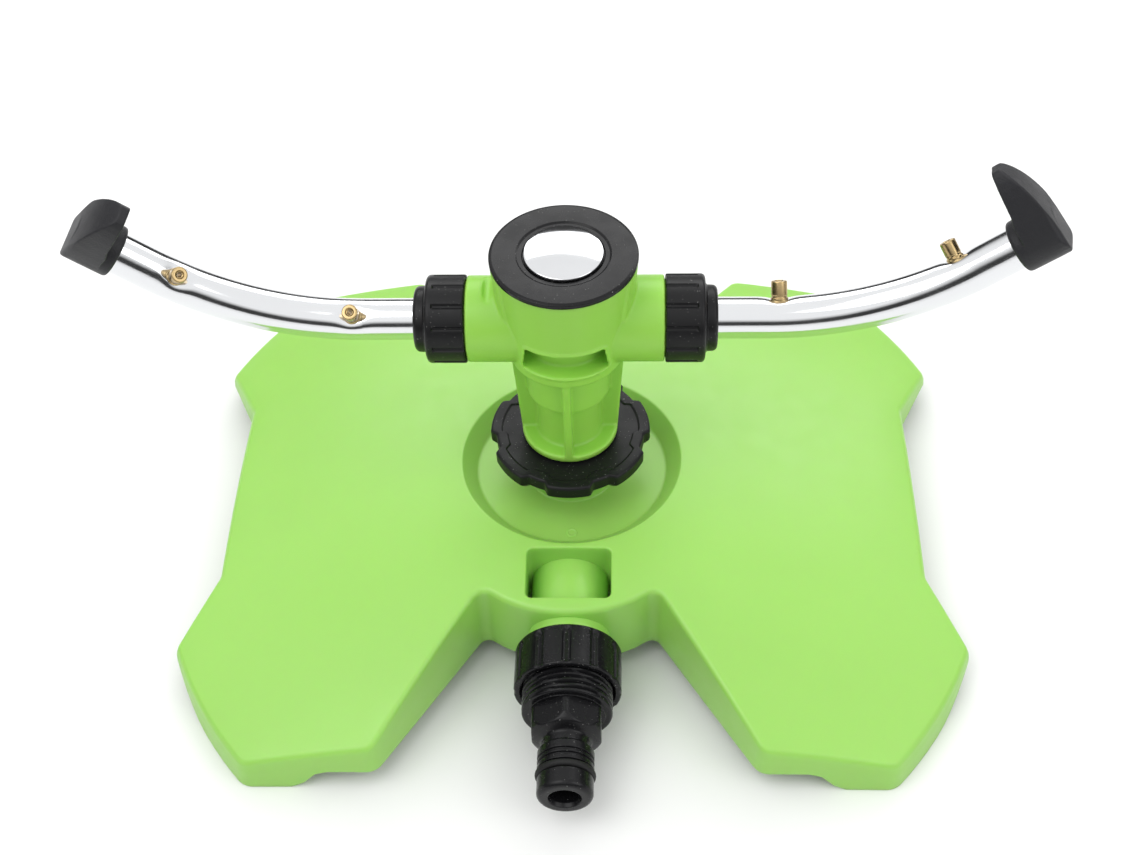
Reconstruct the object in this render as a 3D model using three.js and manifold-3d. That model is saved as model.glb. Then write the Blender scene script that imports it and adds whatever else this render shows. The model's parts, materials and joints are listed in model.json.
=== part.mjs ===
// Rotary two-arm lawn sprinkler: a moulded sled base with a hose inlet, and a head that screws into it.
// Millimetres, +Z up. +X runs along the arms, the hose comes in from -Y.
import * as THREE from "three";
import { mergeVertices } from "three/addons/utils/BufferGeometryUtils.js";
import Module from "manifold-3d";

// ---------------------------------------------------------------- driving dimensions

const GAP = 0.3; // between pieces that touch
const ROUND = 16; // sides of a small round piece
const ROUND_FINE = 22; // sides of a large round piece
const ROUND_DOME = 32; // sides of the base's dome and recess

// Base moulding. Corners are on the top edge, in one quarter; the rest is mirrored.
const DOME_TOP = 35;
const DOME_DROP = 25; // how far the plate's top falls at DOME_REACH from the middle
const DOME_REACH = 133;
const SIDE_X = 106.7;
const NOTCH = { x: SIDE_X, y: 33.8, radius: 5 };
const TIP = { x: 117.8, y: 56, radius: 4 };
const LOBE_OUTER = { x: 92.4, y: 95.3, radius: 5 };
const LOBE_INNER = { x: 54.4, y: 95, radius: 4.5 };
const WAIST = { x: 25.6, y: 48, radius: 7 };
const BULGE_Y = 57; // the front and rear edge, in the middle
const LOBE_ARC_RISE = 2.1; // how far the edge from TIP to LOBE_OUTER bows out
const DRAFT = 1.3; // how far the skirt flares between the top edge and the ground
const WALL = 2.5;
const SKIRT_LIFT = 7; // the skirt's lower edge over the ground, between the feet
const FOOT_FRONT = { full: 14, ramp: 9 }; // along the front and rear edges, from LOBE_OUTER
const FOOT_SIDE = { full: 16, ramp: 28 }; // along the arc, from LOBE_OUTER

const RECESS = { rimRadius: 33.8, floorRadius: 29.2, depth: 5.4 };
const SOCKET = { bossRadius: 13.5, boreRadius: 10.9, top: 34.4, bottom: 17, bossBottom: 11 };
const WINDOW = { halfWidth: 12.4, near: 35.4, far: 51.7, wellWall: 2, wellBottom: 12 };
const CHANNEL = { z: 16.5, radius: 11.5, boreRadius: 9, collarRadius: 12 };
const SPIGOT = { radius: 13, start: 59.2, frontEnd: 66.5, rearEnd: 72.8 }; // G3/4 outside thread
const FEMALE_RADIUS = 13.35;

// Fluted fittings on the G3/4 spigots
const FLUTED = { radius: 15.5, flutes: 12, depth: 0.9, width: 3 };
const COUPLING = { near: 61.5, far: 75, ledgeNear: 68.3, ledgeFar: 69.2 };
const REAR_CAP = { near: 62.5, far: 77, wall: 2 };
const WASHER_THICK = 1.2;

// Hose adapter: thread, hexagon, neck and quick-connect nipple
const ADAPTER = {
  threadNear: 71,
  threadFar: 82.4,
  hexAcrossFlats: 19.6,
  hexFar: 90,
  neckRadius: 6.9,
  nippleStart: 94.5,
  nippleRadius: 8,
  grooveNear: 100.6,
  grooveFar: 103.2,
  grooveRadius: 6.2,
  tip: 109,
  boreRadius: 4.2,
};

// Head. Heights are over the spigot's shoulder, which sits just over the base's socket.
const SHOULDER_Z = SOCKET.top + 0.2;
const SPIGOT_DOWN = { radius: 10.3, length: 17, boreRadius: 7.2, boreLength: 11 }; // G1/2
const SOCKET_RING = { middle: 9.5, section: 1.1, z: -1.6 };
const WHEEL = { coneTop: 6.3, top: 12, lobes: 7, lobeRadius: 24, valleyRadius: 22.4 };
const LOBE_HALF_ANGLE = THREE.MathUtils.degToRad(16.7);
const LOBE_BEVEL_ANGLE = THREE.MathUtils.degToRad(3);
const SPINDLE = { radius: 6.2, boreRadius: 4.4, top: 50 };

const ROTOR = {
  bottom: 12.3,
  flangeTop: 14.6,
  flangeRadius: 14.2,
  lowerTubeRadius: 9.5,
  tubeStep: 31,
  upperTubeRadius: 12.25,
  plateBottom: 47,
  plateTop: 50,
  plateRadius: 16.5,
  waistRadius: 17,
  topRadius: 19.7,
  top: 81,
  boreRadius: 8,
  shoulder: 42,
  nutChamberRadius: 10.6,
  upperChamber: 62,
  upperChamberRadius: 13,
  plugSeat: 71,
  plugSeatRadius: 16.5,
  finThickness: 2.2,
};
const ROTOR_WINDOW = { bottom: 51.5, top: 60.5, halfBottom: 12, halfTop: 11, near: 5.6, far: 25 };
const SIDE_PAD = { rise: 0.7, halfWidth: 9.6, bottom: 62 };
const BUSH = { inner: 6.5, outer: 7.7, flangeRadius: 10.3, flangeThick: 1, sleeve: 9 };
const SEAL_Z = 29;
const SEAL_THICK = 2.4;
const THRUST_WASHER = { radius: 9.8, thick: 0.8 };
const SPINDLE_NUT = { acrossFlats: 16.5, thick: 4 };

const TOP_CAP = {
  radius: 20.5,
  thick: 1.6,
  plugRadius: 16.1,
  plugInner: 12.5,
  plugBottom: 73.5,
  ringZ: 77.1,
  ringMiddle: 15.25,
  ringSection: 0.95,
  seatRadius: 11.3,
  seatDepth: 0.9,
};
const CAP_DISC = { radius: 11, edge: 1.1, crown: 2.6 };

// Arms. x runs out along the arm from the rotor's axis.
const ARM_AXIS_Z = 58.3;
const COLLAR = { radius: 12.25, end: 27.7 };
const NOSE = { radius: 10.4, end: 37, boreRadius: 6.4, packingRadius: 8.6, packingStart: 30 };
const ARM_NUT = { radius: 12.5, start: 28, shoulder: 39, end: 42.5, neckRadius: 9.25 };
const NUT_SLOTS = { count: 12, depth: 0.8, width: 1.6 };
const TUBE = { radius: 5.9, inner: 4.9, start: 15, bendStart: 57, bendRadius: 93, endLength: 20 };
const BEND_ANGLE = THREE.MathUtils.degToRad(38);
const NOZZLE = { radius: 2.25, shank: 1.5, from: 6.25, to: 10.4, bore: 0.7, sides: 8 };
const NOZZLE_PLACES = { inner: 60, outer: 109 }; // along x
const NOZZLE_LEAN = THREE.MathUtils.degToRad(35);
const COLLAR_NOTCH = { radius: 1.5, x: 21.5 };

// Fin cap on the tube's end. t runs out along the tube from the cap's rim, n is up and inward.
const FIN = { rimAlongTube: 10, length: 13, radius: 7.4, boreRadius: 6.25, height: 23 };
const FIN_LEAN = THREE.MathUtils.degToRad(22);
const FIN_STEM = { radius: 4.3, grooveRadius: 3.1, ringMiddle: 3.95, ringSection: 0.55, ringT: 5.5 };

// ---------------------------------------------------------------- joining and cutting

const wasm = await Module();
wasm.setup();

function signedVolume(positions, indices) {
  let six = 0;
  const a = new THREE.Vector3();
  const b = new THREE.Vector3();
  const c = new THREE.Vector3();
  for (let i = 0; i < indices.length; i += 3) {
    a.fromArray(positions, indices[i] * 3);
    b.fromArray(positions, indices[i + 1] * 3);
    c.fromArray(positions, indices[i + 2] * 3);
    six += a.dot(b.cross(c));
  }
  return six / 6;
}

// A geometry with merged vertices and its faces pointing out.
function closed(geometry) {
  const bare = geometry.clone();
  bare.deleteAttribute("normal");
  bare.deleteAttribute("uv");
  const merged = mergeVertices(bare, 1e-4);
  const positions = merged.attributes.position.array;
  const old = Array.from(merged.index.array);
  const kept = [];
  for (let i = 0; i < old.length; i += 3) {
    const [a, b, c] = old.slice(i, i + 3);
    if (a !== b && b !== c && a !== c) kept.push(a, b, c);
  }
  if (signedVolume(positions, kept) < 0) kept.reverse();
  const result = new THREE.BufferGeometry();
  result.setAttribute("position", new THREE.BufferAttribute(positions, 3));
  result.setIndex(kept);
  return result;
}

function toSolid(geometry) {
  const mesh = closed(geometry);
  return new wasm.Manifold(
    new wasm.Mesh({
      numProp: 3,
      vertProperties: new Float32Array(mesh.attributes.position.array),
      triVerts: new Uint32Array(mesh.index.array),
    }),
  );
}

function toGeometry(solid) {
  const mesh = solid.getMesh();
  const geometry = new THREE.BufferGeometry();
  geometry.setAttribute("position", new THREE.BufferAttribute(mesh.vertProperties, 3));
  geometry.setIndex(new THREE.BufferAttribute(mesh.triVerts, 1));
  return geometry;
}

function combine(method, first, rest) {
  let solid = toSolid(first);
  for (const geometry of rest) solid = solid[method](toSolid(geometry));
  return toGeometry(solid);
}

const join = (first, ...rest) => combine("add", first, rest);
const cut = (first, ...rest) => combine("subtract", first, rest);
const common = (first, ...rest) => combine("intersect", first, rest);

// ---------------------------------------------------------------- basic shapes

// A profile of [radius, z] points, turned about Z. Off the axis it closes on itself.
function turned(profile, sides = ROUND) {
  const points = profile.map(([radius, z]) => new THREE.Vector2(radius, z));
  const onAxis = points[0].x === 0 && points.at(-1).x === 0;
  if (!onAxis) points.push(points[0].clone());
  return new THREE.LatheGeometry(points, sides).rotateX(Math.PI / 2);
}

function rod(radius, low, high, sides = ROUND) {
  return turned([[0, low], [radius, low], [radius, high], [0, high]], sides);
}

function ring(inner, outer, low, high, sides = ROUND) {
  return turned([[inner, low], [outer, low], [outer, high], [inner, high]], sides);
}

function oRing(middle, section, z, sides = ROUND) {
  const steps = 6;
  const profile = [];
  for (let i = 0; i < steps; i += 1) {
    const angle = (i / steps) * 2 * Math.PI;
    profile.push([middle + section * Math.cos(angle), z + section * Math.sin(angle)]);
  }
  return turned(profile, sides);
}

function box(x0, x1, y0, y1, z0, z1) {
  const geometry = new THREE.BoxGeometry(x1 - x0, y1 - y0, z1 - z0);
  return geometry.translate((x0 + x1) / 2, (y0 + y1) / 2, (z0 + z1) / 2);
}

// A flat outline of [x, y] points, from z = low up to high.
function prism(outline, low, high) {
  const shape = new THREE.Shape(outline.map(([x, y]) => new THREE.Vector2(x, y)));
  const depth = high - low;
  return new THREE.ExtrudeGeometry(shape, { depth, bevelEnabled: false }).translate(0, 0, low);
}

function hexagon(acrossFlats) {
  const radius = acrossFlats / 2 / Math.cos(Math.PI / 6);
  const points = [];
  for (let i = 0; i < 6; i += 1) {
    const angle = (i * Math.PI) / 3;
    points.push([radius * Math.sin(angle), radius * Math.cos(angle)]);
  }
  return points;
}

// A round outline with evenly spaced flutes pressed into it.
function flutedOutline(radius, flutes, depth, width) {
  const points = [];
  const half = width / 2 / radius;
  for (let i = 0; i < flutes; i += 1) {
    const middle = (i / flutes) * 2 * Math.PI;
    const nextMiddle = middle + (2 * Math.PI) / flutes;
    points.push([radius - depth, middle - half * 0.4], [radius - depth, middle + half * 0.4]);
    points.push([radius, middle + half], [radius, nextMiddle - half]);
  }
  return points.map(([r, angle]) => [r * Math.cos(angle), r * Math.sin(angle)]);
}

const alongX = (geometry) => geometry.rotateY(Math.PI / 2);
// Z becomes distance out of the base's front (-Y) or rear (+Y), on the channel's axis.
const outOfFront = (geometry) => geometry.rotateX(Math.PI / 2).translate(0, 0, CHANNEL.z);
const outOfRear = (geometry) => geometry.rotateX(-Math.PI / 2).translate(0, 0, CHANNEL.z);

// ---------------------------------------------------------------- base moulding

const domeZ = (x, y) => DOME_TOP - DOME_DROP * ((x * x + y * y) / (DOME_REACH * DOME_REACH));

// Points of the arc from a to b that bows to its right by rise, without its ends.
function bowed(a, b, rise, steps) {
  const from = new THREE.Vector2(a.x, a.y);
  const chord = new THREE.Vector2(b.x, b.y).sub(from);
  const outward = new THREE.Vector2(chord.y, -chord.x).normalize();
  const points = [];
  for (let i = 1; i < steps; i += 1) {
    const t = i / steps;
    const bow = 4 * rise * t * (1 - t);
    const point = from.clone().addScaledVector(chord, t).addScaledVector(outward, bow);
    points.push({ x: point.x, y: point.y, radius: 0 });
  }
  return points;
}

// The corner between its neighbours, rounded to its radius.
function rounded(before, corner, after) {
  if (corner.radius === 0) return [new THREE.Vector2(corner.x, corner.y)];
  const at = new THREE.Vector2(corner.x, corner.y);
  const back = new THREE.Vector2(before.x, before.y).sub(at).normalize();
  const on = new THREE.Vector2(after.x, after.y).sub(at).normalize();
  const half = Math.acos(THREE.MathUtils.clamp(back.dot(on), -1, 1)) / 2;
  const run = corner.radius / Math.tan(half);
  const start = at.clone().addScaledVector(back, run);
  const end = at.clone().addScaledVector(on, run);
  const inward = back.clone().add(on).normalize();
  const centre = at.clone().addScaledVector(inward, corner.radius / Math.sin(half));
  const steps = 2;
  const first = start.clone().sub(centre);
  const turn = Math.atan2(first.cross(end.clone().sub(centre)), first.dot(end.clone().sub(centre)));
  const points = [];
  for (let i = 0; i <= steps; i += 1) {
    const arm = first.clone().rotateAround(new THREE.Vector2(), (turn * i) / steps);
    points.push(centre.clone().add(arm));
  }
  return points;
}

// The plate's top edge seen from above, counterclockwise from the middle of the +X side.
function plateOutline() {
  const bulge = { x: 0, y: BULGE_Y, radius: 0 };
  const corners = [
    { x: SIDE_X, y: 0, radius: 0 },
    NOTCH,
    TIP,
    ...bowed(TIP, LOBE_OUTER, LOBE_ARC_RISE, 3),
    LOBE_OUTER,
    ...footEnds(),
    LOBE_INNER,
    WAIST,
    ...bulgeCurve(),
    bulge,
  ];
  const quarter = [];
  for (let i = 1; i < corners.length - 1; i += 1) {
    quarter.push(...rounded(corners[i - 1], corners[i], corners[i + 1]));
  }
  quarter.push(bulge);
  const mirrored = (sx, sy) => quarter.map(({ x, y }) => new THREE.Vector2(sx * x, sy * y));
  return [
    ...mirrored(1, 1),
    ...mirrored(-1, 1).reverse().slice(1),
    ...mirrored(-1, -1),
    ...mirrored(1, -1).reverse().slice(1),
  ];
}

// The points of the front edge between which the skirt's lower edge rises from a foot.
function footEnds() {
  return [0, 0.5, 1].map((share) => {
    const x = LOBE_OUTER.x - FOOT_FRONT.full - FOOT_FRONT.ramp * share;
    const y = THREE.MathUtils.mapLinear(x, LOBE_OUTER.x, LOBE_INNER.x, LOBE_OUTER.y, LOBE_INNER.y);
    return { x, y, radius: 0 };
  });
}

// From the waist to the middle of the front edge: a round arc with its crest at the middle.
function bulgeCurve() {
  const rise = BULGE_Y - WAIST.y;
  const radius = (WAIST.x * WAIST.x + rise * rise) / (2 * rise);
  return [0.6, 0.3].map((share) => {
    const x = WAIST.x * share;
    const y = BULGE_Y - radius + Math.sqrt(radius * radius - x * x);
    return { x, y, radius: 0 };
  });
}

function outwardNormals(outline) {
  return outline.map((_, i) => {
    const before = outline[(i + outline.length - 1) % outline.length];
    const after = outline[(i + 1) % outline.length];
    return new THREE.Vector2(after.y - before.y, before.x - after.x).normalize();
  });
}

// How high the skirt's lower edge is at a point of the outline: 0 on a foot.
function skirtBottom({ x, y }) {
  const alongFront = LOBE_OUTER.x - Math.abs(x);
  const alongSide = LOBE_OUTER.y - Math.abs(y);
  const onFront = alongFront > 0;
  const { full, ramp } = onFront ? FOOT_FRONT : FOOT_SIDE;
  const distance = onFront ? alongFront : alongSide;
  return SKIRT_LIFT * THREE.MathUtils.smoothstep(distance, full, full + ramp);
}

// A closed mesh from rings of matching points, its ends capped.
function loft(rings) {
  const count = rings[0].length;
  const positions = rings.flatMap((points) => points.flatMap(({ x, y, z }) => [x, y, z]));
  const indices = [];
  for (let level = 0; level < rings.length - 1; level += 1) {
    for (let i = 0; i < count; i += 1) {
      const a = level * count + i;
      const b = level * count + ((i + 1) % count);
      indices.push(a, b, b + count, a, b + count, a + count);
    }
  }
  const cap = (level, flip) => {
    const flat = rings[level].map(({ x, y }) => new THREE.Vector2(x, y));
    for (const [a, b, c] of THREE.ShapeUtils.triangulateShape(flat, [])) {
      const face = flip ? [c, b, a] : [a, b, c];
      indices.push(...face.map((i) => level * count + i));
    }
  };
  cap(0, true);
  cap(rings.length - 1, false);
  const geometry = new THREE.BufferGeometry();
  geometry.setAttribute("position", new THREE.Float32BufferAttribute(positions, 3));
  geometry.setIndex(indices);
  return geometry;
}

function domeSolid(lowered) {
  const radii = [45, 78, 103, 122, 140];
  const surface = radii.map((radius) => [radius, domeZ(radius, 0) - lowered]);
  return turned([[0, -20], [140, -20], ...surface.reverse(), [0, DOME_TOP - lowered]], ROUND_DOME);
}

function baseMoulding() {
  const outline = plateOutline();
  const normals = outwardNormals(outline);
  const skirtRing = (inset, heightOf) =>
    outline.map((point, i) => {
      const z = heightOf(point);
      const flare = DRAFT * Math.max(0, 1 - z / domeZ(point.x, point.y));
      const place = point.clone().addScaledVector(normals[i], flare - inset);
      return { x: place.x, y: place.y, z };
    });
  const above = DOME_TOP + 5;
  const plateFloor = SKIRT_LIFT + 1;
  const edgeHeight = ({ x, y }) => domeZ(x, y);
  const outer = loft([
    skirtRing(WALL + 1, () => plateFloor),
    skirtRing(WALL + 1, skirtBottom),
    skirtRing(0, skirtBottom),
    skirtRing(0, edgeHeight),
    skirtRing(0, () => above),
  ]);
  const inner = loft([
    skirtRing(WALL, () => -5),
    skirtRing(WALL, edgeHeight),
    skirtRing(WALL, () => above),
  ]);
  const dome = domeSolid(0);
  const skin = cut(common(outer, dome), common(inner, domeSolid(WALL)));

  const rimZ = domeZ(RECESS.rimRadius, 0);
  const floorZ = rimZ - RECESS.depth;
  const slope = (RECESS.rimRadius - RECESS.floorRadius) / RECESS.depth;
  const aboveRim = RECESS.rimRadius + slope * (above - rimZ);
  const recess = turned(
    [[0, floorZ], [RECESS.floorRadius, floorZ], [aboveRim, above], [0, above]],
    ROUND_DOME,
  );
  const cup = turned(
    [
      [0, floorZ - WALL],
      [RECESS.floorRadius + WALL, floorZ - WALL],
      [RECESS.rimRadius + WALL + 1, rimZ - WALL / 2],
      [0, rimZ - WALL / 2],
    ],
    ROUND_DOME,
  );
  const wells = [];
  const windows = [];
  for (const side of [1, -1]) {
    const { halfWidth, near, far, wellWall, wellBottom } = WINDOW;
    const ys = (a, b) => [side * a, side * b].sort((p, q) => p - q);
    const wellX = halfWidth + wellWall;
    const wellY = ys(near - wellWall, BULGE_Y);
    wells.push(common(box(-wellX, wellX, ...wellY, wellBottom, above), outer, dome));
    windows.push(box(-halfWidth, halfWidth, ...ys(near, far), 0, above));
  }
  const plate = cut(join(skin, cup, ...wells), recess, ...windows);

  const { radius, boreRadius, collarRadius } = CHANNEL;
  const straight = BULGE_Y - WALL;
  const channel = [];
  const bores = [];
  for (const [turnOut, end] of [[outOfFront, SPIGOT.frontEnd], [outOfRear, SPIGOT.rearEnd]]) {
    channel.push(turnOut(rod(radius, -1, straight)));
    channel.push(turnOut(rod(collarRadius, straight - 1, SPIGOT.start + 0.5)));
    channel.push(turnOut(rod(SPIGOT.radius, SPIGOT.start, end)));
    bores.push(turnOut(rod(boreRadius, -1, end + 1)));
  }
  const boss = rod(SOCKET.bossRadius, SOCKET.bossBottom, SOCKET.top, ROUND_FINE);
  const socketBore = rod(SOCKET.boreRadius, SOCKET.bottom, above, ROUND_FINE);
  return cut(join(plate, ...channel, boss), ...bores, socketBore);
}

// ---------------------------------------------------------------- fittings on the base

function flutedBody(near, far) {
  const { radius, flutes, depth, width } = FLUTED;
  return prism(flutedOutline(radius, flutes, depth, width), near, far);
}

function inletCoupling() {
  const { near, far, ledgeNear, ledgeFar } = COUPLING;
  return outOfFront(
    cut(
      flutedBody(near, far),
      rod(FEMALE_RADIUS, near - 1, ledgeNear),
      rod(FEMALE_RADIUS, ledgeFar, far + 1),
      rod(CHANNEL.boreRadius, near, far),
    ),
  );
}

function rearEndCap() {
  const { near, far, wall } = REAR_CAP;
  return outOfRear(cut(flutedBody(near, far), rod(FEMALE_RADIUS, near - 1, far - wall)));
}

function flatWasher(start) {
  return ring(CHANNEL.boreRadius, SPIGOT.radius, start, start + WASHER_THICK);
}

function hoseAdapter() {
  const a = ADAPTER;
  const shape = turned([
    [a.boreRadius, a.threadNear],
    [SPIGOT.radius, a.threadNear],
    [SPIGOT.radius, a.threadFar],
    [a.hexAcrossFlats / 2 - 0.4, a.threadFar],
    [a.hexAcrossFlats / 2 - 0.4, a.hexFar - 1.5],
    [a.neckRadius, a.hexFar + 1.5],
    [a.neckRadius, a.nippleStart - 1],
    [a.nippleRadius, a.nippleStart],
    [a.nippleRadius, a.grooveNear],
    [a.grooveRadius, a.grooveNear],
    [a.grooveRadius, a.grooveFar],
    [a.nippleRadius, a.grooveFar],
    [a.nippleRadius, a.tip - 4],
    [a.nippleRadius * 0.85, a.tip - 1.2],
    [a.nippleRadius * 0.68, a.tip],
    [a.boreRadius, a.tip],
  ]);
  const hexPrism = prism(hexagon(a.hexAcrossFlats), a.threadFar - 1, a.hexFar);
  const hexRing = cut(hexPrism, rod(a.boreRadius + 1, a.threadFar - 2, a.hexFar + 1));
  return outOfFront(join(shape, hexRing));
}

function nippleRing() {
  const { grooveNear, grooveFar, grooveRadius } = ADAPTER;
  const section = (grooveFar - grooveNear) / 2 - GAP;
  const middle = grooveRadius + GAP + section;
  return outOfFront(oRing(middle, section, (grooveNear + grooveFar) / 2));
}

// ---------------------------------------------------------------- head: standing part

function wheelOutline() {
  const points = [];
  const pitch = (2 * Math.PI) / WHEEL.lobes;
  const edges = [-1, -0.5, 0, 0.5, 1];
  for (let i = 0; i < WHEEL.lobes; i += 1) {
    const middle = i * pitch - Math.PI / 2;
    const valley = LOBE_HALF_ANGLE + LOBE_BEVEL_ANGLE;
    points.push([WHEEL.valleyRadius, middle - valley]);
    for (const share of edges) points.push([WHEEL.lobeRadius, middle + share * LOBE_HALF_ANGLE]);
    points.push([WHEEL.valleyRadius, middle + valley]);
  }
  return points.map(([r, angle]) => [r * Math.cos(angle), r * Math.sin(angle)]);
}

function spindleHandwheel() {
  const s = SPIGOT_DOWN;
  const grooveRadius = SOCKET_RING.middle - SOCKET_RING.section - GAP;
  const core = turned(
    [
      [0, -s.length],
      [s.radius - 0.7, -s.length],
      [s.radius, 1 - s.length],
      [s.radius, SOCKET_RING.z - SOCKET_RING.section - GAP],
      [grooveRadius, SOCKET_RING.z - SOCKET_RING.section - GAP],
      [grooveRadius, SOCKET_RING.z + SOCKET_RING.section + GAP],
      [s.radius, SOCKET_RING.z + SOCKET_RING.section + GAP],
      [WHEEL.valleyRadius - 0.4, WHEEL.coneTop],
      [WHEEL.valleyRadius - 0.4, WHEEL.top],
      [SPINDLE.radius, WHEEL.top],
      [SPINDLE.radius, SPINDLE.top],
      [0, SPINDLE.top],
    ],
    ROUND_FINE,
  );
  const rim = prism(wheelOutline(), WHEEL.coneTop - 0.5, WHEEL.top);
  return cut(
    join(core, rim),
    rod(s.boreRadius, -s.length - 1, s.boreLength - s.length),
    rod(SPINDLE.boreRadius, -s.length, SPINDLE.top + 1),
  );
}

// A plain bush with a flange at its low or high end.
function flangedBush(sleeveLow, flangeLow) {
  const { inner, outer, flangeRadius, flangeThick, sleeve } = BUSH;
  const body = ring(inner, outer, sleeveLow, sleeveLow + sleeve);
  const flange = ring(inner, flangeRadius, flangeLow, flangeLow + flangeThick);
  return join(body, flange);
}

const upperFlange = ROTOR.shoulder + GAP;
const thrustLow = upperFlange + BUSH.flangeThick + GAP;
const nutLow = thrustLow + THRUST_WASHER.thick + GAP;

function spindleNut() {
  const { acrossFlats, thick } = SPINDLE_NUT;
  const bore = rod(BUSH.inner, nutLow - 1, nutLow + thick + 1);
  return cut(prism(hexagon(acrossFlats), nutLow, nutLow + thick), bore);
}

// ---------------------------------------------------------------- head: turning part

const rotorRadiusAt = (z) =>
  THREE.MathUtils.mapLinear(z, ROTOR.plateTop, ROTOR.top, ROTOR.waistRadius, ROTOR.topRadius);

function rotorFins() {
  const r = ROTOR;
  const outline = [
    [r.lowerTubeRadius - 1, r.flangeTop - 1],
    [r.flangeRadius, r.flangeTop - 1],
    [r.plateRadius, r.plateBottom + 1],
    [r.lowerTubeRadius - 1, r.plateBottom + 1],
  ];
  const fins = [];
  for (let i = 0; i < 4; i += 1) {
    const blade = prism(outline, -r.finThickness / 2, r.finThickness / 2).rotateX(Math.PI / 2);
    fins.push(blade.rotateZ((i * Math.PI) / 2));
  }
  return fins;
}

function rotorOuter() {
  const r = ROTOR;
  const stem = turned([
    [0, r.bottom],
    [r.flangeRadius, r.bottom],
    [r.flangeRadius, r.flangeTop],
    [r.lowerTubeRadius, r.flangeTop],
    [r.lowerTubeRadius, r.tubeStep],
    [r.upperTubeRadius, r.tubeStep],
    [r.upperTubeRadius, r.plateTop],
    [0, r.plateTop],
  ]);
  const tee = turned(
    [
      [0, r.plateBottom],
      [r.plateRadius, r.plateBottom],
      [r.waistRadius, r.plateTop],
      [r.topRadius, r.top],
      [0, r.top],
    ],
    ROUND_FINE,
  );
  const sideBlock = box(-30, 30, -SIDE_PAD.halfWidth, SIDE_PAD.halfWidth, SIDE_PAD.bottom, r.top);
  const padCone = turned(
    [
      [0, SIDE_PAD.bottom],
      [rotorRadiusAt(SIDE_PAD.bottom) + SIDE_PAD.rise, SIDE_PAD.bottom],
      [r.topRadius + SIDE_PAD.rise, r.top],
      [0, r.top],
    ],
    ROUND_FINE,
  );
  const collar = alongX(rod(COLLAR.radius, -COLLAR.end, COLLAR.end, ROUND_FINE));
  const nose = alongX(rod(NOSE.radius, -NOSE.end, NOSE.end));
  const arms = [collar, nose].map((shape) => shape.translate(0, 0, ARM_AXIS_Z));
  return join(stem, tee, ...rotorFins(), common(padCone, sideBlock), ...arms);
}

// The pockets in front and behind, which show the inner tube.
function rotorWindows() {
  const { bottom, top, halfBottom, halfTop, near, far } = ROTOR_WINDOW;
  const outline = [[-halfBottom, bottom], [halfBottom, bottom], [halfTop, top], [-halfTop, top]];
  const innerTube = rod(ROTOR.upperTubeRadius, bottom - 1, top + 1);
  return [1, -1].map((side) => {
    const block = prism(outline, near, far).rotateX(Math.PI / 2);
    return cut(side > 0 ? block : block.rotateZ(Math.PI), innerTube);
  });
}

function rotorBody() {
  const r = ROTOR;
  const sockets = [];
  for (const side of [1, -1]) {
    const reach = (from, to, radius) => {
      const [low, high] = [side * from, side * to].sort((a, b) => a - b);
      return alongX(rod(radius, low, high)).translate(0, 0, ARM_AXIS_Z);
    };
    sockets.push(reach(0, TUBE.start, TUBE.inner));
    sockets.push(reach(TUBE.start - GAP, NOSE.end + 1, NOSE.boreRadius));
    sockets.push(reach(NOSE.packingStart, NOSE.end + 1, NOSE.packingRadius));
  }
  const flangeSeat = r.bottom + BUSH.flangeThick + GAP;
  const notch = rod(COLLAR_NOTCH.radius, -20, 20, 12).rotateX(Math.PI / 2);
  const notchZ = ARM_AXIS_Z + COLLAR.radius + COLLAR_NOTCH.radius / 4;
  return cut(
    rotorOuter(),
    ...rotorWindows(),
    rod(r.boreRadius, r.bottom - 1, r.plateTop),
    rod(BUSH.flangeRadius + GAP, r.bottom - 1, flangeSeat),
    rod(r.nutChamberRadius, r.shoulder, r.upperChamber),
    rod(r.upperChamberRadius, r.upperChamber, r.top + 1),
    rod(r.plugSeatRadius, r.plugSeat, r.top + 1, ROUND_FINE),
    notch.translate(-COLLAR_NOTCH.x, 0, notchZ),
    ...sockets,
  );
}

function topCap() {
  const c = TOP_CAP;
  const under = ROTOR.top + GAP;
  const top = under + c.thick;
  const groove = c.ringMiddle - c.ringSection - GAP;
  const grooveHalf = c.ringSection + GAP;
  return turned(
    [
      [0, under],
      [c.plugInner, under],
      [c.plugInner, c.plugBottom],
      [c.plugRadius, c.plugBottom],
      [c.plugRadius, c.ringZ - grooveHalf],
      [groove, c.ringZ - grooveHalf],
      [groove, c.ringZ + grooveHalf],
      [c.plugRadius, c.ringZ + grooveHalf],
      [c.plugRadius, under],
      [c.radius, under],
      [c.radius, top - 0.4],
      [c.radius - 0.4, top],
      [c.seatRadius, top],
      [c.seatRadius, top - c.seatDepth],
      [0, top - c.seatDepth],
    ],
    ROUND_FINE,
  );
}

function capDisc() {
  const low = ROTOR.top + GAP + TOP_CAP.thick - TOP_CAP.seatDepth + GAP;
  const { radius, edge, crown } = CAP_DISC;
  const rings = [1, 0.75, 0.5, 0.25].map((share) => [
    radius * share,
    low + edge + (crown - edge) * (1 - share * share),
  ]);
  return turned([[0, low], [radius, low], ...rings, [0, low + crown]]);
}

// ---------------------------------------------------------------- one arm, along +X

const bendCentre = new THREE.Vector2(TUBE.bendStart, TUBE.bendRadius);

// The point and direction of the tube's middle line at an angle into its bend.
function bendAt(angle) {
  return new THREE.Vector3(
    bendCentre.x + TUBE.bendRadius * Math.sin(angle),
    0,
    bendCentre.y - TUBE.bendRadius * Math.cos(angle),
  );
}

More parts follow.
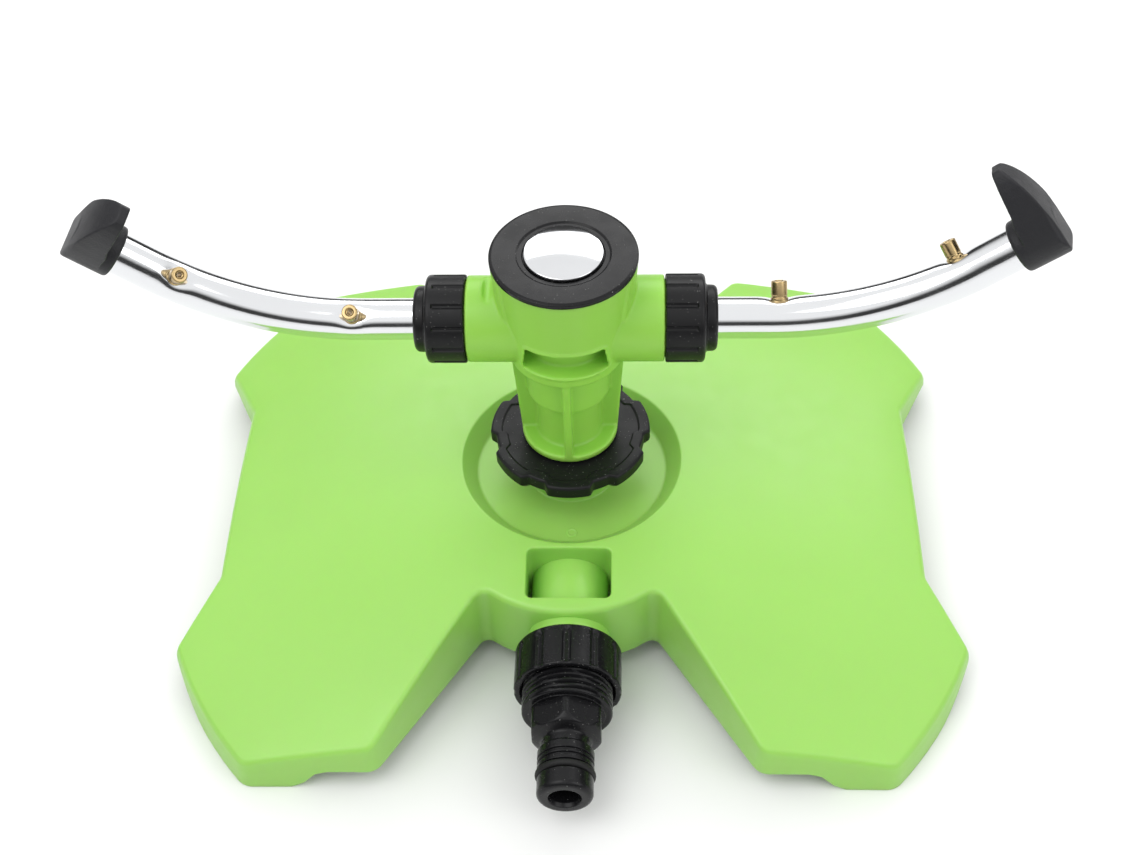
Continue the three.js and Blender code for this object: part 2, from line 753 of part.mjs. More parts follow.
class ArmPath extends THREE.Curve {
  getPoint(t, target = new THREE.Vector3()) {
    const straight = TUBE.bendStart - TUBE.start;
    const bend = TUBE.bendRadius * BEND_ANGLE;
    const along = t * (straight + bend + TUBE.endLength);
    if (along <= straight) return target.set(TUBE.start + along, 0, 0);
    if (along <= straight + bend) return target.copy(bendAt((along - straight) / TUBE.bendRadius));
    const past = along - straight - bend;
    const direction = new THREE.Vector3(Math.cos(BEND_ANGLE), 0, Math.sin(BEND_ANGLE));
    return target.copy(bendAt(BEND_ANGLE)).addScaledVector(direction, past);
  }
}

// Places a shape made along +Z so that it points out of the tube at x, leaning to +Y.
function atNozzle(geometry, x) {
  const angle = Math.asin(Math.max(x - TUBE.bendStart, 0) / TUBE.bendRadius);
  const middle = bendAt(angle);
  return geometry.rotateX(-NOZZLE_LEAN).rotateY(-angle).translate(middle.x, 0, middle.z);
}

function nozzle(x) {
  const { radius, shank, from, to, bore } = NOZZLE;
  const rearEnd = TUBE.inner - 1;
  const profile = [
    [bore, rearEnd],
    [shank, rearEnd],
    [shank, from],
    [radius, from],
    [radius, to - 0.3],
    [radius - 0.3, to],
    [bore, to],
  ];
  return atNozzle(turned(profile, NOZZLE.sides), x);
}

function armTube() {
  const sides = 12;
  const circle = (radius) => {
    const points = [];
    for (let i = 0; i < sides; i += 1) {
      const angle = (i / sides) * 2 * Math.PI;
      points.push(new THREE.Vector2(radius * Math.cos(angle), radius * Math.sin(angle)));
    }
    return points;
  };
  const section = new THREE.Shape(circle(TUBE.radius));
  section.holes.push(new THREE.Path(circle(TUBE.inner)));
  const options = { steps: 12, extrudePath: new ArmPath(), bevelEnabled: false };
  const tube = new THREE.ExtrudeGeometry(section, options);
  const holes = Object.values(NOZZLE_PLACES).map((x) =>
    atNozzle(rod(NOZZLE.shank + GAP, 2, TUBE.radius + 2, NOZZLE.sides), x),
  );
  return cut(tube, ...holes);
}

function armNut() {
  const { radius, start, shoulder, end, neckRadius } = ARM_NUT;
  const { count, depth, width } = NUT_SLOTS;
  const grip = prism(flutedOutline(radius, count, depth, width), start, shoulder - 1.2);
  const crown = turned([
    [0, shoulder - 1.3],
    [radius - 0.1, shoulder - 1.3],
    [radius - 1.2, shoulder],
    [neckRadius, shoulder],
    [neckRadius, end - 1],
    [neckRadius - 1, end],
    [0, end],
  ]);
  return alongX(
    cut(
      join(grip, crown),
      rod(NOSE.radius + 0.35, start - 1, NOSE.end + GAP),
      rod(NOSE.packingRadius, start, NOSE.end + 1.3),
      rod(NOSE.boreRadius, start, end + 1),
    ),
  );
}

const packingInner = NOSE.boreRadius - 0.1;
const packingOuter = NOSE.packingRadius - GAP;

function armSeal() {
  const start = NOSE.packingStart + GAP;
  return alongX(ring(packingInner, packingOuter, start, start + 3));
}

function gripRing() {
  const start = NOSE.packingStart + 2 * GAP + 3;
  return alongX(ring(packingInner, packingOuter, start, NOSE.end + 1));
}

// Turns a shape made along +Z, with its fin towards -X, onto the tube's end.
function atTubeEnd(geometry) {
  const rim = new ArmPath().getPoint(1);
  const back = FIN.rimAlongTube - TUBE.endLength;
  rim.x += back * Math.cos(BEND_ANGLE);
  rim.z += back * Math.sin(BEND_ANGLE);
  return geometry
    .rotateZ(-FIN_LEAN)
    .rotateY(Math.PI / 2 - BEND_ANGLE)
    .translate(rim.x, rim.y, rim.z);
}

// The fin is where a side profile and a tongue outline meet. Its inner face has two grooves.
function finBlade() {
  const { length, radius, height } = FIN;
  const tongue = new THREE.Shape();
  tongue.moveTo(0, -radius);
  tongue.bezierCurveTo(-8, -radius, -height, -radius * 0.7, -height, -1.5);
  tongue.lineTo(-height, 1.5);
  tongue.bezierCurveTo(-height, radius * 0.7, -8, radius, 0, radius);
  const side = new THREE.Shape();
  side.moveTo(0, length);
  side.bezierCurveTo(-9, length, -17, length - 2, -height, 7.2);
  side.lineTo(-height, 4.8);
  side.lineTo(-radius, 3.5);
  side.lineTo(0, 3.5);
  const extrude = (shape, depth) =>
    new THREE.ExtrudeGeometry(shape, { depth, bevelEnabled: false, curveSegments: 4 });
  const outline = extrude(tongue, length + 2);
  const profile = extrude(side, 4 * radius).rotateX(Math.PI / 2).translate(0, 2 * radius, 0);
  const grooveOutline = [[-8.6, 1], [-8.6, 5], [-14, 4.2], [-19, 2.2], [-20, 1]];
  const grooves = [1, -1].map((flip) => {
    const points = grooveOutline.map(([x, y]) => [x, flip * y]);
    return prism(points, 0, 7.4);
  });
  return cut(common(outline, profile), ...grooves);
}

function finCap() {
  const { length, radius, boreRadius } = FIN;
  const floor = TUBE.endLength - FIN.rimAlongTube + GAP;
  const s = FIN_STEM;
  const grooveHalf = s.ringSection + GAP;
  const cup = turned([
    [0, length],
    [0, 3],
    [s.radius, 3],
    [s.radius, s.ringT - grooveHalf],
    [s.grooveRadius, s.ringT - grooveHalf],
    [s.grooveRadius, s.ringT + grooveHalf],
    [s.radius, s.ringT + grooveHalf],
    [s.radius, floor],
    [boreRadius, floor],
    [boreRadius, 0],
    [radius - 0.4, 0],
    [radius, 0.4],
    [radius, length - 1.2],
    [radius - 1.2, length],
  ].reverse());
  const room = rod(boreRadius, -1, floor);
  return atTubeEnd(join(cut(finBlade(), room), cup));
}

function finRing() {
  const { ringMiddle, ringSection, ringT } = FIN_STEM;
  return atTubeEnd(oRing(ringMiddle, ringSection, ringT, 12));
}

// ---------------------------------------------------------------- materials and assembly

const FINISHES = {
  greenPlastic: { color: 0x96dc4b, roughness: 0.42, metalness: 0 },
  blackPlastic: { color: 0x222325, roughness: 0.5, metalness: 0 },
  blackRubber: { color: 0x141414, roughness: 0.75, metalness: 0 },
  whiteAcetal: { color: 0xe8e6df, roughness: 0.4, metalness: 0 },
  aluminium: { color: 0xd9dbde, roughness: 0.12, metalness: 1 },
  brass: { color: 0xa9823c, roughness: 0.3, metalness: 1 },
  steel: { color: 0xb9bcbf, roughness: 0.25, metalness: 1 },
  chrome: { color: 0xe4e6e8, roughness: 0.06, metalness: 1 },
};

function piece(name, finish, geometry) {
  const mesh = new THREE.Mesh(closed(geometry), new THREE.MeshStandardMaterial(FINISHES[finish]));
  mesh.name = name;
  return mesh;
}

function baseAssembly() {
  const group = new THREE.Group();
  const inletWasherStart = SPIGOT.frontEnd + GAP;
  const adapterWasherStart = COUPLING.ledgeFar + GAP;
  const rearWasherStart = SPIGOT.rearEnd + GAP;
  group.add(
    piece("base_moulding", "greenPlastic", baseMoulding()),
    piece("inlet_coupling", "blackPlastic", inletCoupling()),
    piece("inlet_washer", "blackRubber", outOfFront(flatWasher(inletWasherStart))),
    piece("adapter_washer", "blackRubber", outOfFront(flatWasher(adapterWasherStart))),
    piece("hose_adapter", "blackPlastic", hoseAdapter()),
    piece("nipple_o_ring", "blackRubber", nippleRing()),
    piece("rear_end_cap", "blackPlastic", rearEndCap()),
    piece("rear_cap_washer", "blackRubber", outOfRear(flatWasher(rearWasherStart))),
  );
  return group;
}

function armAssembly(side) {
  const group = new THREE.Group();
  group.add(
    piece(`arm_tube_${side}`, "aluminium", armTube()),
    piece(`arm_nut_${side}`, "blackPlastic", armNut()),
    piece(`arm_seal_${side}`, "blackRubber", armSeal()),
    piece(`grip_ring_${side}`, "whiteAcetal", gripRing()),
    piece(`fin_cap_${side}`, "blackPlastic", finCap()),
    piece(`fin_o_ring_${side}`, "blackRubber", finRing()),
  );
  for (const [place, x] of Object.entries(NOZZLE_PLACES)) {
    group.add(piece(`nozzle_${side}_${place}`, "brass", nozzle(x)));
  }
  group.position.z = ARM_AXIS_Z;
  if (side === "left") group.rotation.z = Math.PI;
  return group;
}

function headAssembly() {
  const group = new THREE.Group();
  const { middle, section, z } = SOCKET_RING;
  const lowerFlange = WHEEL.top + GAP;
  const lowerSleeve = lowerFlange + BUSH.flangeThick / 2;
  const upperSleeve = upperFlange + BUSH.flangeThick / 2 - BUSH.sleeve;
  const { radius: washerRadius, thick } = THRUST_WASHER;
  group.add(
    piece("spindle_handwheel", "blackPlastic", spindleHandwheel()),
    piece("socket_o_ring", "blackRubber", oRing(middle, section, z)),
    piece("lower_bush", "whiteAcetal", flangedBush(lowerSleeve, lowerFlange)),
    piece("upper_bush", "whiteAcetal", flangedBush(upperSleeve, upperFlange)),
    piece("shaft_seal", "blackRubber", ring(BUSH.inner, BUSH.outer, SEAL_Z, SEAL_Z + SEAL_THICK)),
    piece("thrust_washer", "steel", ring(BUSH.inner, washerRadius, thrustLow, thrustLow + thick)),
    piece("spindle_nut", "brass", spindleNut()),
    piece("rotor_body", "greenPlastic", rotorBody()),
    piece("top_cap", "blackPlastic", topCap()),
    piece(
      "top_cap_o_ring",
      "blackRubber",
      oRing(TOP_CAP.ringMiddle, TOP_CAP.ringSection, TOP_CAP.ringZ),
    ),
    piece("cap_disc", "chrome", capDisc()),
    armAssembly("right"),
    armAssembly("left"),
  );
  group.position.z = SHOULDER_Z;
  return group;
}

const sprinkler = new THREE.Group();
sprinkler.add(baseAssembly(), headAssembly());

// The origin is under the middle of the whole sprinkler's box, on the ground.
const whole = new THREE.Box3().setFromObject(sprinkler, true);
sprinkler.position.y = -(whole.min.y + whole.max.y) / 2;
sprinkler.updateMatrixWorld(true);

export default sprinkler;
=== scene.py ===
"""Rotary two-arm lawn sprinkler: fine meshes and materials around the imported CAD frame.

Shapes are in millimetres in their own frame, and turn to metres when they are placed.
"""

import json
import math

import bmesh
import bpy
import numpy as np
from mathutils import Matrix, Vector
from mathutils.geometry import delaunay_2d_cdt

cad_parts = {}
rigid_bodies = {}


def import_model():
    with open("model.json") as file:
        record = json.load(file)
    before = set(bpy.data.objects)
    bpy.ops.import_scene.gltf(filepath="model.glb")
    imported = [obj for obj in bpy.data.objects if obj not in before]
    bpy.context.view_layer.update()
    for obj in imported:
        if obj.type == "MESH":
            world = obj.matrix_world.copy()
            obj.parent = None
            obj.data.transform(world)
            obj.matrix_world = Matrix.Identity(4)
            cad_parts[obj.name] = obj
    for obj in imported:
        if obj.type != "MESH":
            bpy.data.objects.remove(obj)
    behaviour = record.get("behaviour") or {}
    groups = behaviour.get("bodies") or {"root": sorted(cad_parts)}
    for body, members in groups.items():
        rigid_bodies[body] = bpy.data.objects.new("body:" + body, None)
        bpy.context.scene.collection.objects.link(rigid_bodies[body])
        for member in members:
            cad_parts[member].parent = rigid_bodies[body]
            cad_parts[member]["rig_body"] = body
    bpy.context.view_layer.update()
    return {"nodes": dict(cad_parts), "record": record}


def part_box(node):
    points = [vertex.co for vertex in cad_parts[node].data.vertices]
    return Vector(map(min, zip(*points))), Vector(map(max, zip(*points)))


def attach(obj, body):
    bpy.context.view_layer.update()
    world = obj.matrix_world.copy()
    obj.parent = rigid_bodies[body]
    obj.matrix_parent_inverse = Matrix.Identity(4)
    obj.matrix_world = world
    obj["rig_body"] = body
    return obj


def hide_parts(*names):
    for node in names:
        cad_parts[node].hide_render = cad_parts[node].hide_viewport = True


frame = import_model()

MM = 0.001
TURN = 2 * math.pi

# ---------------------------------------------------------------- dimensions, in millimetres

BASE_LOW, BASE_HIGH = (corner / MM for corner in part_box("base_moulding"))
SPINDLE_LOW, SPINDLE_HIGH = (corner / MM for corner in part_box("spindle_handwheel"))
CENTRE_Y = (BASE_LOW.y + BASE_HIGH.y) / 2

DOME_TOP, DOME_DROP, DOME_REACH = 35, 25, 133
NOTCH = (106.7, 33.8, 5)
TIP = (117.8, 56, 4)
LOBE_OUTER = (92.4, 95.3, 5)
LOBE_INNER = (54.4, 95, 4.5)
WAIST = (25.6, 48, 7)
BULGE_Y = 57
LOBE_ARC_RISE = 2.1
EDGE_FILLET = 1.7
DRAFT = 1.3
WALL = 2.5
SKIRT_LIFT = 7
FOOT_FRONT = (14, 9)  # flat length and ramp along the front and rear edges
FOOT_SIDE = (16, 28)

RECESS_RIM, RECESS_FLOOR, RECESS_DEPTH = 33.8, 29.2, 5.4
BOSS_RADIUS, BOSS_TOP, BOSS_BOTTOM, SOCKET_BOTTOM = 13.5, 34.4, 11, 17
WINDOW_HALF, WINDOW_NEAR, WINDOW_FAR, WELL_WALL, WELL_BOTTOM = 12.4, 35.4, 51.7, 2, 12
CHANNEL_Z, CHANNEL_RADIUS, CHANNEL_BORE, COLLAR_RADIUS = 16.5, 11.4, 9, 12
SPIGOT_RADIUS, SPIGOT_START, SPIGOT_FRONT, SPIGOT_REAR = 13, 59.2, 66.5, 72.8

PIPE_PITCH = 1.814  # of the G1/2 and G3/4 threads
THREAD_DEPTH = 1.1
SPIGOT_DOWN = 17
SHOULDER_Z = SPINDLE_LOW.z + SPIGOT_DOWN
SPINDLE_TOP = SPINDLE_HIGH.z - SHOULDER_Z
ARM_AXIS_Z = 58.3
ROTOR_TOP = 81
ARM_BEND = math.radians(38)
BEND_START, BEND_RADIUS, ARM_END = 57, 93, 20
TUBE_RADIUS, TUBE_INNER = 5.9, 4.9
NOZZLES = {"inner": 60, "outer": 109}
NOZZLE_LEAN = math.radians(35)
FIN_LEAN = math.radians(22)
FIN_LENGTH, FIN_RADIUS, FIN_HEIGHT = 13, 7.4, 22.9
FIN_SOCKET = 6.25
FLUTES = 12
FLUTED_SEGMENTS = FLUTES * 24
LOBES = 7

# ---------------------------------------------------------------- frames

BASE = Matrix.Translation((0, CENTRE_Y, 0))
HEAD = BASE @ Matrix.Translation((0, 0, SHOULDER_Z))
CHANNEL = Matrix.Translation((0, 0, CHANNEL_Z))
FRONT = BASE @ CHANNEL @ Matrix.Rotation(math.pi / 2, 4, "X")  # its Z runs out of the inlet
REAR = BASE @ CHANNEL @ Matrix.Rotation(-math.pi / 2, 4, "X")
ALONG_X = Matrix.Rotation(math.pi / 2, 4, "Y")  # turns a shape's Z to +X
ARMS = {
    "right": HEAD @ Matrix.Translation((0, 0, ARM_AXIS_Z)),
    "left": HEAD @ Matrix.Translation((0, 0, ARM_AXIS_Z)) @ Matrix.Rotation(math.pi, 4, "Z"),
}

# ---------------------------------------------------------------- outlines and profiles


def smooth(t):
    t = min(max(t, 0.0), 1.0)
    return t * t * (3 - 2 * t)


def rounded(corners, closed=True, steps=5):
    """Points along (x, y) or (x, y, fillet) corners, each rounded to its fillet."""
    points = []
    for i, (x, y, *fillet) in enumerate(corners):
        at_end = not closed and i in (0, len(corners) - 1)
        if at_end or not fillet:
            points.append((x, y))
            continue
        at = Vector((x, y))
        before = Vector(corners[i - 1][:2]) - at
        after = Vector(corners[(i + 1) % len(corners)][:2]) - at
        half = before.angle(after) / 2
        run = min(fillet[0] / math.tan(half), before.length * 0.49, after.length * 0.49)
        radius = run * math.tan(half)
        before.normalize()
        after.normalize()
        centre = at + (before + after).normalized() * (radius / math.sin(half))
        start, stop = at + before * run - centre, at + after * run - centre
        turn = math.atan2(start.x * stop.y - start.y * stop.x, start.dot(stop))
        for k in range(steps + 1):
            point = centre + Matrix.Rotation(turn * k / steps, 2) @ start
            points.append((point.x, point.y))
    return points


def spaced(points, step, closed=True):
    """The same line with a point at least every step."""
    found = []
    count = len(points) if closed else len(points) - 1
    for i in range(count):
        a, b = Vector(points[i]), Vector(points[(i + 1) % len(points)])
        parts = max(1, math.ceil((b - a).length / step))
        found += [tuple(a.lerp(b, k / parts)) for k in range(parts)]
    return found if closed else found + [tuple(points[-1])]


def cubic(a, b, c, d, steps=10):
    """Points of the cubic curve from a to d, without its end."""
    found = []
    for k in range(steps):
        t = k / steps
        weights = ((1 - t) ** 3, 3 * t * (1 - t) ** 2, 3 * t * t * (1 - t), t**3)
        found.append(tuple(sum(w * p[i] for w, p in zip(weights, (a, b, c, d))) for i in (0, 1)))
    return found


# ---------------------------------------------------------------- closed meshes


class Shape:
    """Points and faces of one closed mesh."""

    def __init__(self):
        self.points, self.faces = [], []

    def ring(self, points):
        start = len(self.points)
        self.points.extend(points)
        return list(range(start, len(self.points)))

    def bridge(self, a, b):
        for i in range(len(a)):
            j = (i + 1) % len(a)
            self.faces.append((a[i], a[j], b[j], b[i]))

    def chain(self, rings):
        for a, b in zip(rings, rings[1:]):
            self.bridge(a, b)

    def close(self, ring, point):
        centre = self.ring([point])[0]
        for i in range(len(ring)):
            self.faces.append((ring[i], ring[(i + 1) % len(ring)], centre))

    def fill(self, outer, holes, spacing, height):
        """Triangles between the ring outer and the rings in holes, over height(x, y)."""
        loops = [np.array([self.points[i][:2] for i in ring]) for ring in (outer, *holes)]
        low, high = loops[0].min(0), loops[0].max(0)
        across_x, across_y = (np.arange(low[k] + spacing / 2, high[k], spacing) for k in (0, 1))
        inside = np.array([(x, y) for x in across_x for y in across_y])
        keep = within(inside, loops[0]) & (clearance(inside, loops) > spacing * 0.45)
        for loop in loops[1:]:
            keep &= ~within(inside, loop)
        inner = inside[keep]
        indices = [i for ring in (outer, *holes) for i in ring]
        indices += self.ring([(x, y, height(x, y)) for x, y in inner])
        flat = np.vstack([*loops, inner])
        edges, start = [], 0
        for loop in loops:
            edges += [(start + i, start + (i + 1) % len(loop)) for i in range(len(loop))]
            start += len(loop)
        made = delaunay_2d_cdt([Vector(p) for p in flat], edges, [], 0, 1e-6)
        points, triangles, origins = made[0], made[2], made[3]
        middles = np.array([sum((points[i] for i in t), Vector((0, 0))) / 3 for t in triangles])
        kept = within(middles, loops[0])
        for loop in loops[1:]:
            kept &= ~within(middles, loop)
        for triangle, wanted in zip(triangles, kept):
            if wanted:
                self.faces.append(tuple(indices[origins[i][0]] for i in triangle))


def within(points, loop):
    """Which points are inside the loop."""
    found = np.zeros(len(points), bool)
    for (x0, y0), (x1, y1) in zip(loop, np.roll(loop, -1, 0)):
        crosses = (y0 > points[:, 1]) != (y1 > points[:, 1])
        rise = y1 - y0 if y1 != y0 else 1
        found ^= crosses & (points[:, 0] < (x1 - x0) * (points[:, 1] - y0) / rise + x0)
    return found


def clearance(points, loops):
    """How far each point is from the nearest point of the loops."""
    nearest = np.full(len(points), np.inf)
    for x, y in np.vstack(loops):
        nearest = np.minimum(nearest, np.hypot(points[:, 0] - x, points[:, 1] - y))
    return nearest


def lathe(profile, segments=72, shape=None):
    """(radius, z) points turned about Z. Off the axis, the profile closes on itself.

    shape(angle, radius, z) gives the radius there.
    """
    made = Shape()
    angles = [TURN * i / segments for i in range(segments)]
    rings = []
    for radius, z in profile:
        if radius > 0:
            radii = [shape(a, radius, z) if shape else radius for a in angles]
            ring = [(r * math.cos(a), r * math.sin(a), z) for r, a in zip(radii, angles)]
            rings.append(made.ring(ring))
    made.chain(rings)
    if profile[0][0] > 0:
        made.bridge(rings[-1], rings[0])
    else:
        made.close(rings[0], (0, 0, profile[0][1]))
        made.close(rings[-1], (0, 0, profile[-1][1]))
    return made


def prism(outline, low, high):
    """The (x, y) outline from z = low to high."""
    made = Shape()
    bottom = made.ring([(x, y, low) for x, y in outline])
    top = made.ring([(x, y, high) for x, y in outline])
    made.bridge(bottom, top)
    made.faces += [tuple(reversed(bottom)), tuple(top)]
    return made


def rod(radius, low, high, segments=72):
    return lathe([(0, low), (radius, low), (radius, high), (0, high)], segments)


def torus(middle, section, z, sides=20):
    angles = [TURN * i / sides for i in range(sides)]
    profile = [(middle + section * math.cos(a), z + section * math.sin(a)) for a in angles]
    return lathe(profile, 96)


# ---------------------------------------------------------------- threads, flutes and hexagons


def threaded(depth, low, high, origin=0.0):
    """A right-handed pipe thread between low and high, cut to that depth under the profile."""
    runout = 0.6 * PIPE_PITCH

    def shape(angle, radius, z):
        if not low <= z <= high:
            return radius
        turn = ((z - origin) / PIPE_PITCH - angle / TURN) % 1
        valley = smooth((0.5 - abs(turn - 0.5)) * 2.6 - 0.35)
        fade = smooth((z - low) / runout) * smooth((high - z) / runout)
        return radius - depth * valley * fade

    return shape


def across(angle, radius, count, phase=0.0):
    """Distance along the surface from the nearest of count evenly spaced lines."""
    share = ((angle - phase) * count / TURN + 0.5) % 1 - 0.5
    return abs(share) * TURN / count * radius


def pipe_flutes(dimple_z, rim_z, phase=0.0):
    """Twelve flutes, each from a small pit at dimple_z to the scalloped rim at rim_z."""
    toward = 1 if rim_z > dimple_z else -1
    rim_radius = 14.2  # only the profile outside it is fluted
    flute_half, flute_depth, scallop = 1.35, 0.6, 0.45
    pit_radius, pit_depth = 0.8, 0.95

    def shape(angle, radius, z):
        if radius < rim_radius:
            return radius
        aside = across(angle, radius, FLUTES, phase)
        along = (z - dimple_z) * toward
        left = (rim_z - z) * toward
        body = smooth(along / 0.9) * (scallop + (1 - scallop) * smooth((left - 0.6) / 0.5))
        flute = flute_depth * smooth((flute_half - aside) / 0.6) * body
        pit = pit_depth * math.exp(-((math.hypot(aside, along + 0.2) / pit_radius) ** 2))
        return radius - flute - pit

    return shape


def nut_slots(low, high):
    """Twelve narrow slots from the open end to just before the shoulder."""
    half, depth, rim_radius = 0.72, 0.6, 11.6

    def shape(angle, radius, z):
        if radius < rim_radius:
            return radius
        aside = across(angle, radius, FLUTES)
        along = smooth((high - z) / 0.35) * smooth((z - low) / 0.1)
        return radius - depth * along * smooth((half - aside) / 0.28)

    return shape


def both(first, second):
    return lambda angle, radius, z: second(angle, first(angle, radius, z), z)


def hexagonal(across_flats, low, high):
    """Holds the radius inside a hexagon with a corner on top, between low and high."""

    def shape(angle, radius, z):
        if not low <= z <= high:
            return radius
        off = (angle - math.pi / 2) % (math.pi / 3) - math.pi / 6
        return min(radius, across_flats / 2 / math.cos(off))

    return shape


# ---------------------------------------------------------------- Blender objects


def linked(name, data):
    """A new object in the scene."""
    made = bpy.data.objects.new(name, data)
    bpy.context.scene.collection.objects.link(made)
    return made


def build(shape, place=None):
    """An object from a Shape, still in millimetres, moved by place."""
    mesh = bpy.data.meshes.new("shape")
    mesh.from_pydata(shape.points, [], shape.faces)
    editing = bmesh.new()
    editing.from_mesh(mesh)
    bmesh.ops.remove_doubles(editing, verts=editing.verts, dist=1e-4)
    bmesh.ops.recalc_face_normals(editing, faces=editing.faces)
    editing.to_mesh(mesh)
    editing.free()
    if place is not None:
        mesh.transform(place)
    return linked("shape", mesh)


def applied(target):
    """Applies the object's modifiers."""
    bpy.context.view_layer.update()
    evaluated = target.evaluated_get(bpy.context.evaluated_depsgraph_get())
    mesh = bpy.data.meshes.new_from_object(evaluated)
    target.modifiers.clear()
    target.data = mesh
    return target


def combine(operation, target, others):
    for other in others:
        modifier = target.modifiers.new("combine", "BOOLEAN")
        modifier.operation = operation
        modifier.solver = "MANIFOLD"
        modifier.object = other
    applied(target)
    for other in others:
        bpy.data.objects.remove(other)
    return target


def join(target, *others):
    return combine("UNION", target, others)


def cut(target, *others):
    return combine("DIFFERENCE", target, others)


def common(target, *others):
    return combine("INTERSECT", target, others)


def moulded(target, voxel, passes):
    """Softens every edge and inside corner, as on a moulded part."""
    remesh = target.modifiers.new("remesh", "REMESH")
    remesh.mode = "VOXEL"
    remesh.voxel_size = voxel
    softening = target.modifiers.new("soften", "SMOOTH")
    softening.factor = 0.5
    softening.iterations = passes
    return applied(target)


slot_of = {row["node"]: row["material_slot"] for row in frame["record"]["subparts"]}


def piece(made, node, material, place, sharp=38):
    """Makes the object the visible piece for a CAD node, at its place in the row frame."""
    made.name = f"{node}_piece"
    made.data.transform(Matrix.Scale(MM, 4) @ place)
    made.data.shade_smooth()
    made.data.set_sharp_from_angle(angle=math.radians(sharp))
    made.data.materials.clear()
    made.data.materials.append(material)
    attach(made, frame["nodes"][node]["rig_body"])
    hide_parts(node)
    return made


# ---------------------------------------------------------------- materials


def node_of(tree, kind, inputs=(), **settings):
    made = tree.nodes.new(kind)
    for key, value in settings.items():
        setattr(made, key, value)
    for socket, value in dict(inputs).items():
        if isinstance(value, bpy.types.NodeSocket):
            tree.links.new(value, made.inputs[socket])
        else:
            made.inputs[socket].default_value = value
    return made


def ranged(tree, value, low, high, start=0.3, stop=0.7):
    """value from start..stop spread over low..high."""
    bounds = {"Value": value, "From Min": start, "From Max": stop, "To Min": low, "To Max": high}
    return node_of(tree, "ShaderNodeMapRange", bounds).outputs["Result"]


def noise(tree, where, scale, detail=2.0):
    inputs = {"Vector": where, "Scale": scale, "Detail": detail}
    return node_of(tree, "ShaderNodeTexNoise", inputs).outputs["Fac"]


def mixed(tree, share, first, second):
    made = node_of(tree, "ShaderNodeMix", data_type="RGBA")
    for socket, value in ((0, share), (6, first), (7, second)):
        if isinstance(value, bpy.types.NodeSocket):
            tree.links.new(value, made.inputs[socket])
        else:
            made.inputs[socket].default_value = value
    return made.outputs[2]


def shaded(color, amount):
    return (*(min(1.0, c * amount) for c in color), 1.0)


def finish(
    name, color, roughness, spread=0.05, tone=0.05, grain=(), dust=False, stretch=None, **fixed
):
    """A Principled material with uneven tone and roughness.

    grain is [(scale, height)] of its bumps, and dust adds pale specks. stretch is a Mapping scale,
    for finishes that run one way. fixed sets the shader's own sockets.
    """
    made = bpy.data.materials.new(name)
    made.use_nodes = True
    tree = made.node_tree
    shader = tree.nodes["Principled BSDF"]
    for socket, value in fixed.items():
        shader.inputs[socket.replace("_", " ")].default_value = value
    where = node_of(tree, "ShaderNodeTexCoord").outputs["Object"]
    if stretch:
        where = node_of(tree, "ShaderNodeMapping", {"Vector": where, "Scale": stretch}).outputs[0]
    clouds = noise(tree, where, CLOUDS, 3.0)
    tint = mixed(tree, ranged(tree, clouds, 0, 1), shaded(color, 1 - tone), shaded(color, 1 + tone))
    if dust:
        specks = noise(tree, where, SPECKS["scale"], 0.0)
        share = ranged(tree, specks, 0, SPECKS["strength"], SPECKS["from"], SPECKS["full"])
        tint = mixed(tree, share, tint, SPECKS["color"])
    tree.links.new(tint, shader.inputs["Base Color"])
    patches = noise(tree, where, WEAR, 3.0)
    worn = ranged(tree, patches, roughness - spread, roughness + spread)
    tree.links.new(worn, shader.inputs["Roughness"])
    surface = None
    for scale, height in grain:
        inputs = {"Height": noise(tree, where, scale, 2.0), "Distance": height, "Strength": 1.0}
        if surface is not None:
            inputs["Normal"] = surface
        surface = node_of(tree, "ShaderNodeBump", inputs).outputs["Normal"]
    if surface is not None:
        tree.links.new(surface, shader.inputs["Normal"])
    return made


CLOUDS, WEAR = 38.0, 160.0  # noise scales of the uneven tone and of the uneven roughness
SPECKS = {
    "scale": 2800.0, "strength": 0.25, "from": 0.81, "full": 0.81 + 0.03,
    "color": (0.75, 0.75, 0.72, 1),
}
BLACK = (0.007, 0.007, 0.0078)
LIGHT_INSIDE_GREEN = (0.4, 1.0, 0.15)
BLACK_SHEEN = {"spread": 0.08, "tone": 0.15, "dust": True, "Specular_IOR_Level": 0.23}
base_green = finish(
    "base_green", (0.312, 0.62, 0.112), 0.36, tone=0.012,
    grain=[(90.0, 0.00003), (2600.0, 0.000004)],
    Subsurface_Weight=0.3, Subsurface_Radius=LIGHT_INSIDE_GREEN, Subsurface_Scale=0.006,
)
head_green = finish(
    "head_green", (0.298, 0.622, 0.077), 0.42, tone=0.02,
    grain=[(1500.0, 0.00003), (120.0, 0.00003)],
    Subsurface_Weight=0.15, Subsurface_Radius=LIGHT_INSIDE_GREEN, Subsurface_Scale=0.003,
)
black_plastic = finish(
    "black_plastic", BLACK, 0.26, grain=[(2200.0, 0.000006), (150.0, 0.00003)], **BLACK_SHEEN
)
wheel_plastic = finish(
    "wheel_plastic", BLACK, 0.38, grain=[(1600.0, 0.00002), (150.0, 0.00003)], **BLACK_SHEEN
)
grained_plastic = finish(
    "grained_plastic", (0.017, 0.017, 0.02), 0.46, tone=0.2, grain=[(2100.0, 0.00009)],
    Specular_IOR_Level=0.32,
)
rubber = finish(
    "rubber", (0.009, 0.009, 0.009), 0.6, tone=0.2, grain=[(1800.0, 0.00002)],
    Specular_IOR_Level=0.3,
)
acetal = finish("acetal", (0.80, 0.79, 0.75), 0.4, grain=[(900.0, 0.00001)])
